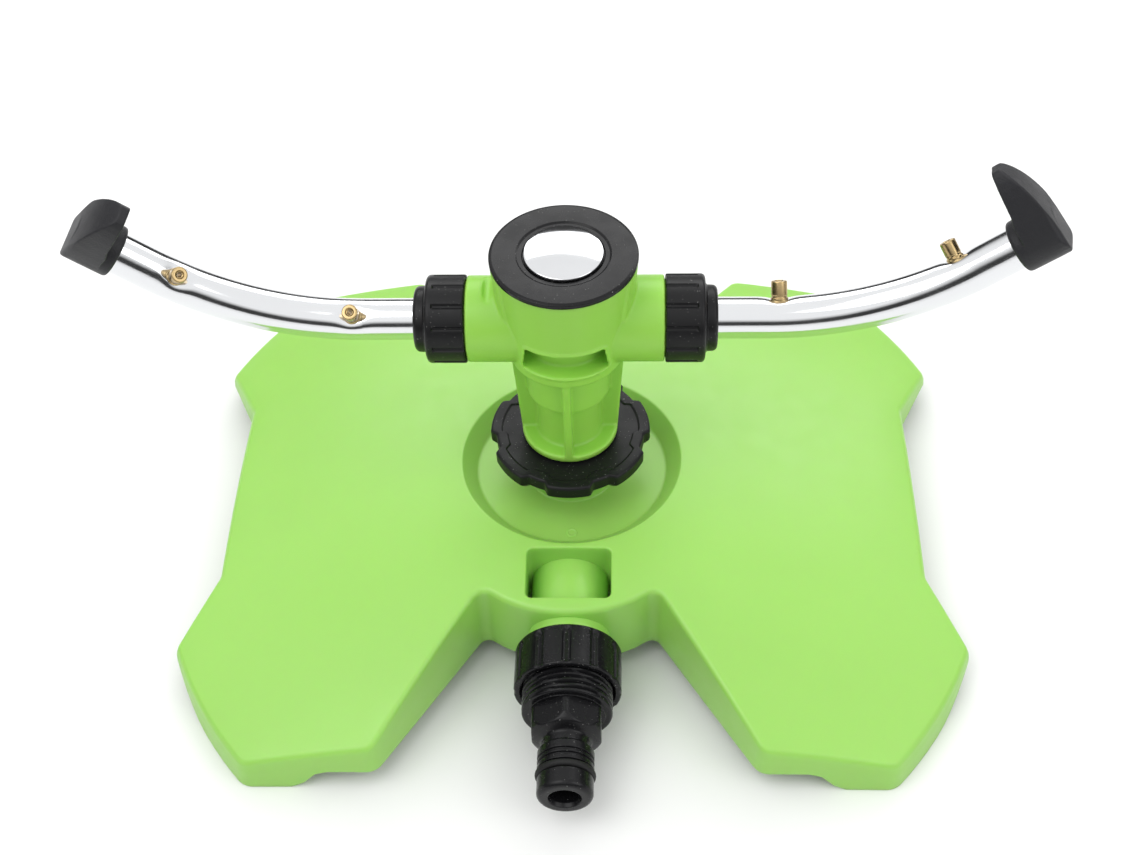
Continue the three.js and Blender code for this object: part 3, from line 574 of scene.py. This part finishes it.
aluminium = finish(
    "aluminium", (0.77, 0.78, 0.795), 0.13, spread=0.05, tone=0.03, stretch=(0.06, 1, 1),
    grain=[(900.0, 0.000006), (220.0, 0.00002)], Metallic=1.0,
)
brass = finish(
    "brass", (0.46, 0.34, 0.17), 0.27, spread=0.08, tone=0.12, grain=[(1400.0, 0.00002)],
    Metallic=1.0,
)
steel = finish("steel", (0.66, 0.67, 0.68), 0.26, grain=[(1200.0, 0.00001)], Metallic=1.0)
chrome = finish(
    "chrome", (0.74, 0.75, 0.765), 0.08, spread=0.02, grain=[(60.0, 0.00001)], Metallic=1.0
)

# ---------------------------------------------------------------- base moulding


def dome(x, y):
    """How high the plate's upper surface is."""
    return DOME_TOP - DOME_DROP * (x * x + y * y) / DOME_REACH**2


def between(a, b, steps, rise):
    """Points of the arc from a to b that bows to its right by rise, without its ends."""
    start, chord = Vector(a[:2]), Vector(b[:2]) - Vector(a[:2])
    outward = Vector((chord.y, -chord.x)).normalized()
    shares = [k / steps for k in range(1, steps)]
    return [tuple(start + chord * t + outward * (4 * rise * t * (1 - t))) for t in shares]


def plate_outline():
    """The plate's top edge from above, counterclockwise."""
    drop = BULGE_Y - WAIST[1]
    radius = (WAIST[0] ** 2 + drop**2) / (2 * drop)
    crest = []
    for share in (0.75, 0.6, 0.45, 0.3, 0.15):
        x = WAIST[0] * share
        crest.append((x, BULGE_Y - radius + math.sqrt(radius**2 - x * x)))
    arc = between(TIP, LOBE_OUTER, 9, LOBE_ARC_RISE)
    quarter = [NOTCH, TIP, *arc, LOBE_OUTER, LOBE_INNER, WAIST, *crest, (0, BULGE_Y)]

    def mirrored(sx, sy):
        return [(sx * x, sy * y, *fillet) for x, y, *fillet in quarter]

    corners = mirrored(1, 1) + mirrored(-1, 1)[-2::-1] + mirrored(-1, -1)
    corners += mirrored(1, -1)[-2::-1]
    return spaced(rounded(corners, steps=7), 4)


def skirt_bottom(x, y):
    """How high the skirt's lower edge is: 0 on a foot."""
    along_front, along_side = LOBE_OUTER[0] - abs(x), LOBE_OUTER[1] - abs(y)
    on_front = along_front > 0
    full, ramp = FOOT_FRONT if on_front else FOOT_SIDE
    return SKIRT_LIFT * smooth(((along_front if on_front else along_side) - full) / ramp)


def base_plate():
    """Plate, skirt, recess, boss and socket as one closed mesh."""
    made = Shape()
    outline = plate_outline()
    count = len(outline)
    outward = []
    for i in range(count):
        before, after = Vector(outline[i - 1]), Vector(outline[(i + 1) % count])
        outward.append(Vector((after.y - before.y, before.x - after.x)).normalized())

    def skirt_ring(inset, height):
        ring = []
        for (x, y), normal in zip(outline, outward):
            z = height(x, y)
            flare = DRAFT * max(0.0, 1 - z / dome(x, y))
            at = Vector((x, y)) + normal * (flare - inset)
            ring.append((at.x, at.y, z))
        return made.ring(ring)

    def edge_ring(inset, drop):
        ring = []
        for (x, y), normal in zip(outline, outward):
            at = Vector((x, y)) - normal * inset
            ring.append((at.x, at.y, dome(at.x, at.y) - drop))
        return made.ring(ring)

    rings = []
    for k in range(7):
        angle = k / 6 * math.pi / 2
        inset = EDGE_FILLET * (1 - math.sin(angle))
        drop = EDGE_FILLET * (1 - math.cos(angle))
        rings.append(edge_ring(inset, drop))
    lip = 0.7
    for share in (0.85, 0.6, 0.35, 0.12):

        def height(x, y):
            low = skirt_bottom(x, y) + lip
            return low + share * (dome(x, y) - EDGE_FILLET - low)

        rings.append(skirt_ring(0, height))
    lower_edge = [
        (0, lip), (lip * 0.3, lip * 0.3), (lip, 0),
        (WALL - lip, 0), (WALL - lip * 0.3, lip * 0.3), (WALL, lip),
    ]
    for inset, lift in lower_edge:
        rings.append(skirt_ring(inset, lambda x, y: skirt_bottom(x, y) + lift))
    rings.append(skirt_ring(WALL, lambda x, y: dome(x, y) - WALL))
    made.chain(rings)

    floor = dome(RECESS_RIM, 0) - RECESS_DEPTH
    thread_low, thread_high = SOCKET_BOTTOM + 0.6, BOSS_TOP - 1.9
    socket = 10.6
    corners = [
        (RECESS_RIM + 0.9, dome(RECESS_RIM + 0.9, 0)),
        (RECESS_RIM, dome(RECESS_RIM, 0), 0.9),
        (RECESS_FLOOR, floor, 1.6),
        (BOSS_RADIUS, floor, 0.6),
        (BOSS_RADIUS, BOSS_TOP, 0.5),
        (11.9, BOSS_TOP, 0.25),
        (11.3, BOSS_TOP - 1.2, 0.3),
        (socket, BOSS_TOP - 1.5, 0.1),
        (socket, SOCKET_BOTTOM),
    ]
    profile = rounded(corners, closed=False)
    profile[-1:] = spaced(profile[-2:], 0.17, closed=False)[1:]
    thread = threaded(THREAD_DEPTH, thread_low, thread_high, origin=SHOULDER_Z)
    segments = 120
    angles = [TURN * i / segments for i in range(segments)]
    bowls = []
    for radius, z in profile:
        radii = [thread(a, radius, z) if radius < BOSS_RADIUS - 2 else radius for a in angles]
        ring = [(r * math.cos(a), r * math.sin(a), z) for r, a in zip(radii, angles)]
        bowls.append(made.ring(ring))
    made.chain(bowls)
    made.close(bowls[-1], (0, 0, SOCKET_BOTTOM))

    cup = rounded(
        [
            (RECESS_RIM + WALL, dome(RECESS_RIM + WALL, 0) - WALL),
            (RECESS_FLOOR + WALL, floor - WALL, 1.5),
            (BOSS_RADIUS, floor - WALL, 0.8),
            (BOSS_RADIUS, BOSS_BOTTOM, 0.5),
            (0, BOSS_BOTTOM),
        ],
        closed=False,
    )
    under = [
        made.ring([(radius * math.cos(a), radius * math.sin(a), z) for a in angles])
        for radius, z in cup[:-1]
    ]
    made.chain(under)
    made.close(under[-1], (0, 0, BOSS_BOTTOM))

    made.fill(rings[0], [bowls[0]], 6, dome)
    made.fill(rings[-1], [under[0]], 9, lambda x, y: dome(x, y) - WALL)
    return made


def window_cutter(side):
    """What a window takes out of the plate: its upper edge flares to a small fillet."""
    made = Shape()
    fillet = 0.6
    loop = window_loop(side, 0)
    rings = [made.ring([(x, y, WELL_BOTTOM - 1) for x, y in loop])]
    for k in range(5):
        angle = k / 4 * math.pi / 2
        loop = window_loop(side, fillet * (1 - math.cos(angle)))
        drop = fillet * (1 - math.sin(angle))
        rings.append(made.ring([(x, y, dome(x, y) - drop) for x, y in loop]))
    rings.append(made.ring([(x, y, dome(x, y) + 1) for x, y in window_loop(side, fillet)]))
    made.chain(rings)
    made.faces += [tuple(reversed(rings[0])), tuple(rings[-1])]
    return made


def window_loop(side, grow):
    half, near, far = WINDOW_HALF + grow, WINDOW_NEAR - grow, WINDOW_FAR + grow
    fillet = 1.8 + grow
    corners = [(-half, near), (half, near), (half, far), (-half, far)]
    loop = rounded([(x, y, fillet) for x, y in corners])
    return [(x, side * y) for x, y in spaced(loop, 3)]


def window_well(side):
    """The walls that go down round a window, open below."""
    made = Shape()
    inner, outer = window_loop(side, 0.05), window_loop(side, WELL_WALL)
    hidden = 1.2  # how far its top stays under the plate's surface
    rings = [
        made.ring([(x, y, WELL_BOTTOM) for x, y in inner]),
        made.ring([(x, y, dome(x, y) - hidden) for x, y in inner]),
        made.ring([(x, y, dome(x, y) - hidden) for x, y in outer]),
        made.ring([(x, y, WELL_BOTTOM) for x, y in outer]),
    ]
    for i, ring in enumerate(rings):
        made.bridge(ring, rings[(i + 1) % 4])
    return made


def base_moulding():
    """The plate with its windows, the water channel across it and the moulding gate's mark."""
    straight = BULGE_Y - WALL
    corners = [
        (0, -SPIGOT_REAR),
        (SPIGOT_RADIUS, -SPIGOT_REAR, 0.8),
        (SPIGOT_RADIUS, -SPIGOT_START, 0.2),
        (COLLAR_RADIUS, -SPIGOT_START, 0.3),
        (COLLAR_RADIUS, -straight),
        (CHANNEL_RADIUS, 1 - straight, 0.3),
        (CHANNEL_RADIUS, straight - 1, 0.3),
        (COLLAR_RADIUS, straight),
        (COLLAR_RADIUS, SPIGOT_START, 0.3),
        (SPIGOT_RADIUS, SPIGOT_START, 0.2),
        (SPIGOT_RADIUS, SPIGOT_FRONT, 0.8),
        (0, SPIGOT_FRONT),
    ]
    thread = both(
        threaded(THREAD_DEPTH, SPIGOT_START + 2, SPIGOT_FRONT),
        threaded(THREAD_DEPTH, -SPIGOT_REAR, -SPIGOT_START - 2),
    )
    profile = spaced(rounded(corners, closed=False), 0.3, closed=False)
    in_base = CHANNEL @ Matrix.Rotation(math.pi / 2, 4, "X")
    channel = build(lathe(profile, 72, thread), in_base)
    reach = SPIGOT_REAR + 1
    bore = build(rod(CHANNEL_BORE, -reach, reach, 64), in_base)
    gate_corners = [
        (0, 27.6), (1.7, 27.6), (1.7, 28.22, 0.2), (1.2, 28.22, 0.1), (0.9, 28.05, 0.1),
        (0, 28.05),
    ]
    gate_mark = lathe(rounded(gate_corners, closed=False), 32)
    gate = build(gate_mark, Matrix.Translation((0.5, -25.6, 0)))
    wells = [build(window_well(side)) for side in (1, -1)]
    windows = [build(window_cutter(side)) for side in (1, -1)]
    made = cut(join(cut(build(base_plate()), *windows), *wells, channel, gate), bore)
    return piece(made, "base_moulding", base_green, BASE, sharp=32)


# ---------------------------------------------------------------- fittings on the base


def inlet_coupling():
    near, far, outer, bore = 61.5, 75, 15.5, 13.35
    ledge_near, ledge_far = 68.3, 69.2  # the ledge between the two washers
    corners = [
        (bore, near, 0.3), (outer, near, 0.7), (outer, far, 0.6), (bore + 0.5, far, 0.2),
        (bore, far - 0.6, 0.2), (bore, ledge_far), (CHANNEL_BORE, ledge_far),
        (CHANNEL_BORE, ledge_near), (bore, ledge_near),
    ]
    profile = spaced(rounded(corners, steps=4), 0.34)
    made = build(lathe(profile, FLUTED_SEGMENTS, pipe_flutes(near + 1.9, far, math.pi / 2)))
    return piece(made, "inlet_coupling", black_plastic, FRONT)


def rear_end_cap():
    near, far, outer, bore = 62.5, 77, 15.5, 13.35
    corners = [
        (0, far - 2), (bore, far - 2, 0.4), (bore, near, 0.3), (outer, near, 0.6),
        (outer, far, 1.0), (0, far),
    ]
    profile = spaced(rounded(corners, closed=False, steps=4), 0.34, closed=False)
    phase = math.radians(8.5)
    made = build(lathe(profile, FLUTED_SEGMENTS, pipe_flutes(far - 2.1, near, phase)))
    return piece(made, "rear_end_cap", black_plastic, REAR)


def hose_adapter():
    """Threaded shank, hexagon and hose nipple, from the base outwards."""
    corners = [
        (4.2, 71, 0.3), (13, 71, 0.7), (13, 82.4, 0.8), (10.6, 82.4, 0.4), (11.1, 83.1, 0.3),
        (11.1, 87.8, 0.3), (10.0, 90.0, 2.2), (7.0, 91.4, 1.2), (7.0, 94.1, 0.8), (8.0, 94.8, 0.3),
        (8.0, 97.0, 0.25), (7.4, 97.2, 0.15), (7.4, 97.7, 0.15), (8.0, 97.9, 0.2), (8.0, 98.5, 0.2),
        (7.4, 98.7, 0.15), (7.4, 99.2, 0.15), (8.0, 99.4, 0.2), (8.0, 100.6, 0.15), (6.2, 100.6),
        (6.2, 103.2), (7.9, 103.2, 0.3), (7.9, 109, 3.4), (4.7, 109, 0.3), (4.2, 107.8, 0.4),
    ]
    profile = spaced(rounded(corners), 0.3)
    shape = both(threaded(1.0, 71.6, 82.0), hexagonal(19.6, 82.7, 91.0))
    made = build(lathe(profile, 120, shape))
    return piece(made, "hose_adapter", black_plastic, FRONT)


def nipple_ring():
    made = build(torus(7.45, 1.05, 101.9))
    return piece(made, "nipple_o_ring", rubber, FRONT)


# ---------------------------------------------------------------- head


def wheel_lobes(angle, radius, z):
    """Seven lobes on the rim, one of them at the front."""
    rim_radius, depth = 20.5, 1.75
    if radius < rim_radius:
        return radius
    aside = across(angle, 1, LOBES, -math.pi / 2)
    lobe = smooth((math.radians(19.4) - aside) / math.radians(4.6))
    return radius - depth * (1 - lobe)


def spindle_handwheel():
    """Lobed wheel, threaded hollow spigot below it and the stem inside the rotor."""
    wheel_corners = [
        (0, -0.1), (10.25, -0.1), (10.6, 0.5, 0.8), (14.6, 2.5, 6), (21.4, 6.1, 0.6),
        (22.7, 6.3, 0.3), (24.05, 7.8, 0.5), (24.15, 12, 0.9), (21.0, 12, 0.5),
        (20.4, 11.6, 0.4), (8.6, 11.6, 0.5), (8.2, 12, 0.3), (0, 12),
    ]
    wheel = spaced(rounded(wheel_corners, closed=False), 0.9, closed=False)
    spigot_corners = [
        (0, 0.4), (8.1, 0.4), (8.1, -3.0), (10.3, -3.0, 0.3), (10.3, -15.3, 0.5),
        (9.25, -15.9, 0.4), (8.9, -SPIGOT_DOWN, 0.4), (0, -SPIGOT_DOWN),
    ]
    spigot = spaced(rounded(spigot_corners, closed=False), 0.16, closed=False)
    stem = rounded([(0, 11), (6.2, 11), (6.2, SPINDLE_TOP, 0.4), (0, SPINDLE_TOP)], closed=False)
    low = 0.5 - SPIGOT_DOWN
    made = join(
        build(lathe(wheel, LOBES * 36, wheel_lobes)),
        build(lathe(spigot, 84, threaded(1.15, -15.6, -2.6))),
        build(lathe(stem, 64)),
    )
    wide = [(0, low - 2), (7.9, low - 2), (7.4, low, 0.3), (7.4, -6), (0, -6)]
    narrow = [(0, -8), (4.4, -8), (4.4, SPINDLE_TOP + 1), (0, SPINDLE_TOP + 1)]
    cut(made, build(lathe(rounded(wide, closed=False), 64)), build(lathe(narrow, 48)))
    return piece(made, "spindle_handwheel", wheel_plastic, HEAD)


def socket_ring():
    made = build(torus(9.5, 1.1, -1.6))
    return piece(made, "socket_o_ring", rubber, HEAD)


def rotor_radius(z):
    """The tee's radius at height z: 17 at 50, widening by 2.7 to the top."""
    return 17 + 2.7 * (z - 50) / (ROTOR_TOP - 50)


def rotor_body():
    """The turning body: finned stem, tee with its side pads, collars and pockets."""
    top_radius = rotor_radius(ROTOR_TOP)
    tee = [
        (0, 47), (16.6, 47, 0.3), (17.0, 50.4, 2), (top_radius, ROTOR_TOP, 0.3), (0, ROTOR_TOP),
    ]
    body = build(lathe(rounded(tee, closed=False), 96))
    pad_low, pad_half, rise = 56, 9.7, 0.75
    pad_corners = [
        (0, pad_low), (rotor_radius(pad_low) + rise, pad_low), (top_radius + rise, ROTOR_TOP, 0.3),
        (0, ROTOR_TOP),
    ]
    pads = build(lathe(rounded(pad_corners, closed=False), 96))
    low, high = 50, ROTOR_TOP + 1
    pad_outline = [(-pad_half, low), (pad_half, low), (pad_half, high), (-pad_half, high)]
    sideways = ALONG_X @ Matrix.Rotation(math.pi / 2, 4, "Z")
    common(pads, build(prism(pad_outline, -30, 30), sideways))
    at_arms = Matrix.Translation((0, 0, ARM_AXIS_Z)) @ ALONG_X
    collar = build(rod(12.25, -27.7, 27.7, 96), at_arms)
    nose = build(rod(10.4, -37, 37), at_arms)
    join(body, pads, collar, nose)

    def window(grow):
        low, high, half_low, half_high = 51.6 - grow, 60.6 + grow, 12 + grow, 10.9 + grow
        corners = [(-half_low, low), (half_low, low), (half_high, high), (-half_high, high)]
        return rounded([(x, y, 0.9 + grow) for x, y in corners])

    upright = Matrix.Rotation(math.pi / 2, 4, "X")
    border, low, high = 0.4, 47.5, 64
    swollen = [
        (0, low), (rotor_radius(low) + border, low), (rotor_radius(high) + border, high), (0, high),
    ]
    join(body, common(build(lathe(swollen, 96)), build(prism(window(0.9), -25, 25), upright)))
    near, far = 5.6, 25  # the pockets stop short of the arms' bore
    windows = [
        build(prism(window(0), near, far), Matrix.Rotation(turn, 4, "Z") @ upright)
        for turn in (0, math.pi)
    ]
    over_arm = Matrix.Translation((-21.5, 0, ARM_AXIS_Z + 12.5))
    notch = build(rod(1.5, -20, 20, 32), over_arm @ upright)
    cut(body, *windows, notch)

    stem = [
        (0, 12.3), (14.2, 12.3, 0.3), (14.4, 14.8, 0.4), (9.6, 14.8, 0.8), (9.5, 30.6, 0.5),
        (12.25, 31.6, 0.7), (12.25, 62), (0, 62),
    ]
    blade = [(8, 13.6), (14.3, 13.6), (16.6, 48.5), (8, 48.5)]
    fins = []
    for i in range(4):
        turn = Matrix.Rotation(i * math.pi / 2, 4, "Z") @ upright
        fins.append(build(prism(blade, -1.1, 1.1), turn))
    join(body, build(lathe(rounded(stem, closed=False), 96)), *fins)

    inside = [
        (0, 11), (10.6, 11), (10.6, 13.6), (8, 13.6), (8, 42), (10.6, 42), (10.6, 62), (13, 62),
        (13, 71), (16.5, 71), (16.5, ROTOR_TOP + 1), (0, ROTOR_TOP + 1),
    ]
    bores = [build(lathe(inside, 72))]
    for side in (1, -1):
        for start, end, radius in ((0, 15.5, TUBE_INNER), (14.7, 38, 6.4), (30, 38, 8.6)):
            low, high = sorted((side * start, side * end))
            bores.append(build(rod(radius, low, high, 48), at_arms))
    cut(body, *bores)
    moulded(body, voxel=0.45, passes=5)
    return piece(body, "rotor_body", head_green, HEAD, sharp=60)


def top_cap():
    under, top = ROTOR_TOP + 0.3, ROTOR_TOP + 1.9
    corners = [
        (0, under), (12.5, under), (12.5, 73.5), (16.1, 73.5), (16.1, 75.85), (14, 75.85),
        (14, 78.35), (16.1, 78.35), (16.1, under), (20.5, under, 0.3), (20.5, top - 0.3, 0.3),
        (19.6, top, 0.3), (13.2, top, 0.3), (12.6, top - 0.35, 0.3), (11.4, top - 0.35, 0.2),
        (11.3, top - 0.9, 0.1), (0, top - 0.9),
    ]
    made = build(lathe(rounded(corners, closed=False), 128))
    return piece(made, "top_cap", black_plastic, HEAD)


def cap_disc():
    low, radius, edge, crown = ROTOR_TOP + 1.3, 11, 1.1, 2.6
    shares = (0.9, 0.75, 0.6, 0.45, 0.3, 0.15)
    dish = [(radius * s, low + edge + (crown - edge) * (1 - s * s)) for s in shares]
    corners = [(0, low), (radius, low, 0.2), (radius, low + edge, 0.35), *dish, (0, low + crown)]
    made = build(lathe(rounded(corners, closed=False), 96))
    return piece(made, "cap_disc", chrome, HEAD)


# ---------------------------------------------------------------- arms


def bend_point(angle):
    """Where the tube's middle line is once it has bent by angle."""
    x = BEND_START + BEND_RADIUS * math.sin(angle)
    return Vector((x, 0, BEND_RADIUS * (1 - math.cos(angle))))


def arm_path(step):
    """(point, angle) along the tube's middle line."""
    start = 15
    found = [(Vector((x, 0, 0)), 0.0) for x in np.arange(start, BEND_START, step)]
    bend_steps = math.ceil(BEND_RADIUS * ARM_BEND / step)
    angles = [ARM_BEND * k / bend_steps for k in range(bend_steps + 1)]
    found += [(bend_point(angle), angle) for angle in angles]
    along = Vector((math.cos(ARM_BEND), 0, math.sin(ARM_BEND)))
    found += [(bend_point(ARM_BEND) + along * t, ARM_BEND) for t in np.linspace(0, ARM_END, 16)[1:]]
    return found


def nozzle_place(x):
    """A nozzle's frame on the arm: its Z points out of the tube."""
    angle = math.asin(max(x - BEND_START, 0) / BEND_RADIUS)
    turn = Matrix.Rotation(-angle, 4, "Y") @ Matrix.Rotation(-NOZZLE_LEAN, 4, "X")
    return Matrix.Translation(bend_point(angle)) @ turn


def arm_tube(side):
    """The bent tube, dented round each nozzle's seat."""
    made = Shape()
    sides = 56
    seats = []
    for x in NOZZLES.values():
        place = nozzle_place(x)
        out = place.to_3x3() @ Vector((0, 0, 1))
        seats.append((place.translation + out * TUBE_RADIUS, out))
    dent, spread = 0.95, 3.1

    def ring(middle, angle, radius, dented):
        points = []
        for k in range(sides):
            turn = TURN * k / sides
            up = Vector((-math.sin(angle), 0, math.cos(angle)))
            point = middle + (up * math.cos(turn) + Vector((0, 1, 0)) * math.sin(turn)) * radius
            for seat, out in seats if dented else ():
                point -= out * (dent * math.exp(-(((point - seat).length / spread) ** 2)))
            points.append(tuple(point))
        return made.ring(points)

    path = arm_path(1.1)
    outer = [ring(middle, angle, TUBE_RADIUS, True) for middle, angle in path]
    inner = [ring(middle, angle, TUBE_INNER, False) for middle, angle in reversed(path)]
    loops = outer + inner
    for i, loop in enumerate(loops):
        made.bridge(loop, loops[(i + 1) % len(loops)])
    return piece(build(made), f"arm_tube_{side}", aluminium, ARMS[side])


def nozzle(side, place_name):
    corners = [
        (0.7, 3.9), (1.5, 3.9), (1.5, 4.7), (2.45, 4.7, 0.2), (2.45, 5.6, 0.25), (2.15, 5.8, 0.2),
        (2.15, 6.3, 0.15), (2.25, 6.5, 0.15), (2.25, 10.4, 0.4), (1.25, 10.4, 0.15),
        (0.95, 10.0, 0.15), (0.7, 9.9),
    ]
    made = build(lathe(rounded(corners), 48))
    place = ARMS[side] @ nozzle_place(NOZZLES[place_name])
    return piece(made, f"nozzle_{side}_{place_name}", brass, place)


def arm_nut(side):
    corners = [
        (10.75, 28, 0.3), (12.5, 28, 0.5), (12.5, 39, 1.5), (10.1, 39.15, 0.7), (9.4, 39.6, 0.4),
        (9.25, 42.5, 1.4), (6.3, 42.5, 0.3), (6.3, 38.3), (8.6, 38.3), (8.6, 37.3), (10.75, 37.3),
    ]
    profile = spaced(rounded(corners, steps=6), 0.4)
    made = build(lathe(profile, FLUTED_SEGMENTS, nut_slots(27, 37)))
    return piece(made, f"arm_nut_{side}", wheel_plastic, ARMS[side] @ ALONG_X)


def tongue(inset):
    """The fin's outline seen along the tube, with its tip towards -X, pulled in by inset."""
    half, tip = FIN_RADIUS - inset, FIN_HEIGHT - inset
    end = half / 5
    arc = [math.pi / 2 - math.pi * k / 14 for k in range(14)]
    outline = cubic((0, -half), (-8, -half), (-tip, -half * 0.72), (-tip, -end))
    outline += cubic((-tip, end), (-tip, half * 0.72), (-8, half), (0, half))
    return outline + [(half * math.cos(a), half * math.sin(a)) for a in arc]


def fin_back(inset):
    """The fin's back seen from the side, from the tube's axis to the tip."""
    high = FIN_LENGTH - inset
    tip = (-FIN_HEIGHT + inset, 7.2 - inset)
    return cubic((0, high), (-9, high), (-17, high - 1.8), tip, 14) + [tip]


def fin_cap(side):
    """The cup on the tube's end with its blade. The blade's inner face has two deep pockets."""
    floor, lip, rib, back_wall, low = 10.3, 1.15, 0.55, 1.5, 3.2
    sideways = Matrix.Rotation(math.pi / 2, 4, "X")
    endways = Matrix.Rotation(math.pi / 2, 4, "Z") @ sideways
    half, length = FIN_RADIUS, FIN_LENGTH
    inner_face = [(-FIN_HEIGHT, 4.9), (-10.5, 4.0), (-half, low), (half + 1, low)]
    heel = rounded([(half, low), (half, length, 2.6), (0, length)], closed=False)[1:-1]
    profile = build(prism(fin_back(0) + inner_face + heel, -30, 30), sideways)
    edges = rounded([(-half, -1), (half, -1), (half, length, 2), (-half, length, 2)])
    blade = build(prism(tongue(0), 0, length + 2))
    common(blade, profile, build(prism(edges, -30, 30), endways))
    pocket = build(prism(tongue(lip), -1, length))
    under_back = fin_back(back_wall) + [(-FIN_HEIGHT + back_wall, -1), (0, -1)]
    common(pocket, build(prism(under_back, -30, 30), sideways))
    rib_end = rounded([(-30, -rib), (-10.2, -rib, 0.5), (-10.2, rib, 0.5), (-30, rib)])
    cut(pocket, build(prism(rib_end, -2, length + 1)))
    cut(blade, pocket, build(rod(FIN_SOCKET, -1, floor)))
    cup_corners = [
        (FIN_SOCKET, 0, 0.2), (7.1, 0, 0.4), (half, 0.8, 0.3), (half, length, 2.7), (1, length),
        (1, floor), (FIN_SOCKET, floor),
    ]
    plug = build(rod(4.3, floor - 7, length - 0.6, 48))
    groove = build(lathe([(3.1, 4.6), (5, 4.6), (5, 6.4), (3.1, 6.4)], 48))
    join(blade, build(lathe(rounded(cup_corners), 72)), cut(plug, groove))
    moulded(blade, voxel=0.23, passes=7)
    end = bend_point(ARM_BEND) + Vector((math.cos(ARM_BEND), 0, math.sin(ARM_BEND))) * 10
    turn = Matrix.Rotation(math.pi / 2 - ARM_BEND, 4, "Y") @ Matrix.Rotation(-FIN_LEAN, 4, "Z")
    place = ARMS[side] @ Matrix.Translation(end) @ turn
    return piece(blade, f"fin_cap_{side}", grained_plastic, place, sharp=60)


# ---------------------------------------------------------------- assembly

base_moulding()
inlet_coupling()
rear_end_cap()
hose_adapter()
nipple_ring()
spindle_handwheel()
socket_ring()
rotor_body()
top_cap()
cap_disc()
for side in ("left", "right"):
    arm_tube(side)
    arm_nut(side)
    fin_cap(side)
    for place_name in NOZZLES:
        nozzle(side, place_name)

CARRIED_OVER = {
    "black_rubber": rubber,
    "white_acetal": acetal,
    "brass": brass,
    "stainless_steel": steel,
}
for node, holder in frame["nodes"].items():
    if not holder.hide_render:
        holder.data.materials.clear()
        holder.data.materials.append(CARRIED_OVER[slot_of[node]])
        holder.data.shade_smooth()
        holder.data.set_sharp_from_angle(angle=math.radians(35))

# ---------------------------------------------------------------- stage, light and camera

floor_mesh = bpy.data.meshes.new("floor")
reach = 6.0
corners = [(-reach, -reach, 0), (reach, -reach, 0), (reach, reach, 0), (-reach, reach, 0)]
floor_mesh.from_pydata(corners, [], [(0, 1, 2, 3)])
floor = linked("floor", floor_mesh)
floor_mesh.materials.append(finish("floor", (0.86, 0.86, 0.86), 0.75, spread=0.02, tone=0.005))


def softbox(name, place, target, size, power):
    light = bpy.data.lights.new(name, "AREA")
    light.shape = "RECTANGLE"
    light.size, light.size_y = size
    light.energy = power
    holder = linked(name, light)
    holder.location = place
    aim = Vector(target) - Vector(place)
    holder.rotation_mode = "QUATERNION"
    holder.rotation_quaternion = aim.to_track_quat("-Z", "Y")


softbox("key", (-0.55, -0.35, 1.15), (0, 0, 0.03), (0.9, 0.9), 5.2)
softbox("fill", (0.9, -0.5, 0.75), (0, 0, 0.05), (0.7, 0.9), 2.8)
softbox("back", (0.1, 1.0, 0.8), (0, 0, 0.05), (1.4, 0.6), 6.0)

# The camera sees a pale backdrop. What lights the room, and shows in the metal, is bright overhead
# and dark at the horizon.
world = bpy.data.worlds.new("studio")
bpy.context.scene.world = world
world.use_nodes = True
sky = world.node_tree
direction = node_of(sky, "ShaderNodeTexCoord").outputs["Generated"]
up = node_of(sky, "ShaderNodeSeparateXYZ", {"Vector": direction}).outputs["Z"]
ramp = node_of(sky, "ShaderNodeValToRGB", {"Fac": up})
SKY_LEVELS = ((0.0, 0.10), (0.06, 0.04), (0.3, 0.05), (0.42, 0.6), (0.55, 0.95))
while len(ramp.color_ramp.elements) < len(SKY_LEVELS):
    ramp.color_ramp.elements.new(0.5)
for element, (position, level) in zip(ramp.color_ramp.elements, SKY_LEVELS):
    element.position = position
    element.color = (level, level, level, 1)
seen_directly = node_of(sky, "ShaderNodeLightPath").outputs["Is Camera Ray"]
backdrop = mixed(sky, seen_directly, ramp.outputs["Color"], (0.78, 0.78, 0.78, 1))
sky.links.new(backdrop, sky.nodes["Background"].inputs["Color"])
sky.nodes["Background"].inputs["Strength"].default_value = 1.12
bpy.context.scene.view_settings.view_transform = "Standard"

# The photograph's viewpoint over the base, turned just enough to centre the assembled sprinkler.
VIEWPOINT = Vector((17.3, CENTRE_Y - 339.0, 424.5)) * MM
PITCH, YAW, ROLL = 1.0349, -0.0808, -0.0639
AIM = Vector((0, CENTRE_Y - 2, 49)) * MM
forward = Vector(
    (math.sin(YAW) * math.cos(PITCH), math.cos(YAW) * math.cos(PITCH), -math.sin(PITCH))
)
right = Vector((math.cos(YAW), -math.sin(YAW), 0))
above = right.cross(forward)
right, above = (
    right * math.cos(ROLL) + above * math.sin(ROLL),
    above * math.cos(ROLL) - right * math.sin(ROLL),
)
seen = Matrix((right, above, -forward)).transposed()
turn = forward.rotation_difference(AIM - VIEWPOINT)
camera_data = bpy.data.cameras.new("camera")
camera_data.lens = 53
camera_data.clip_start = 0.01
camera = linked("camera", camera_data)
camera.location = VIEWPOINT
camera.rotation_mode = "QUATERNION"
camera.rotation_quaternion = turn @ seen.to_quaternion()
bpy.context.scene.camera = camera

bpy.context.view_layer.update()
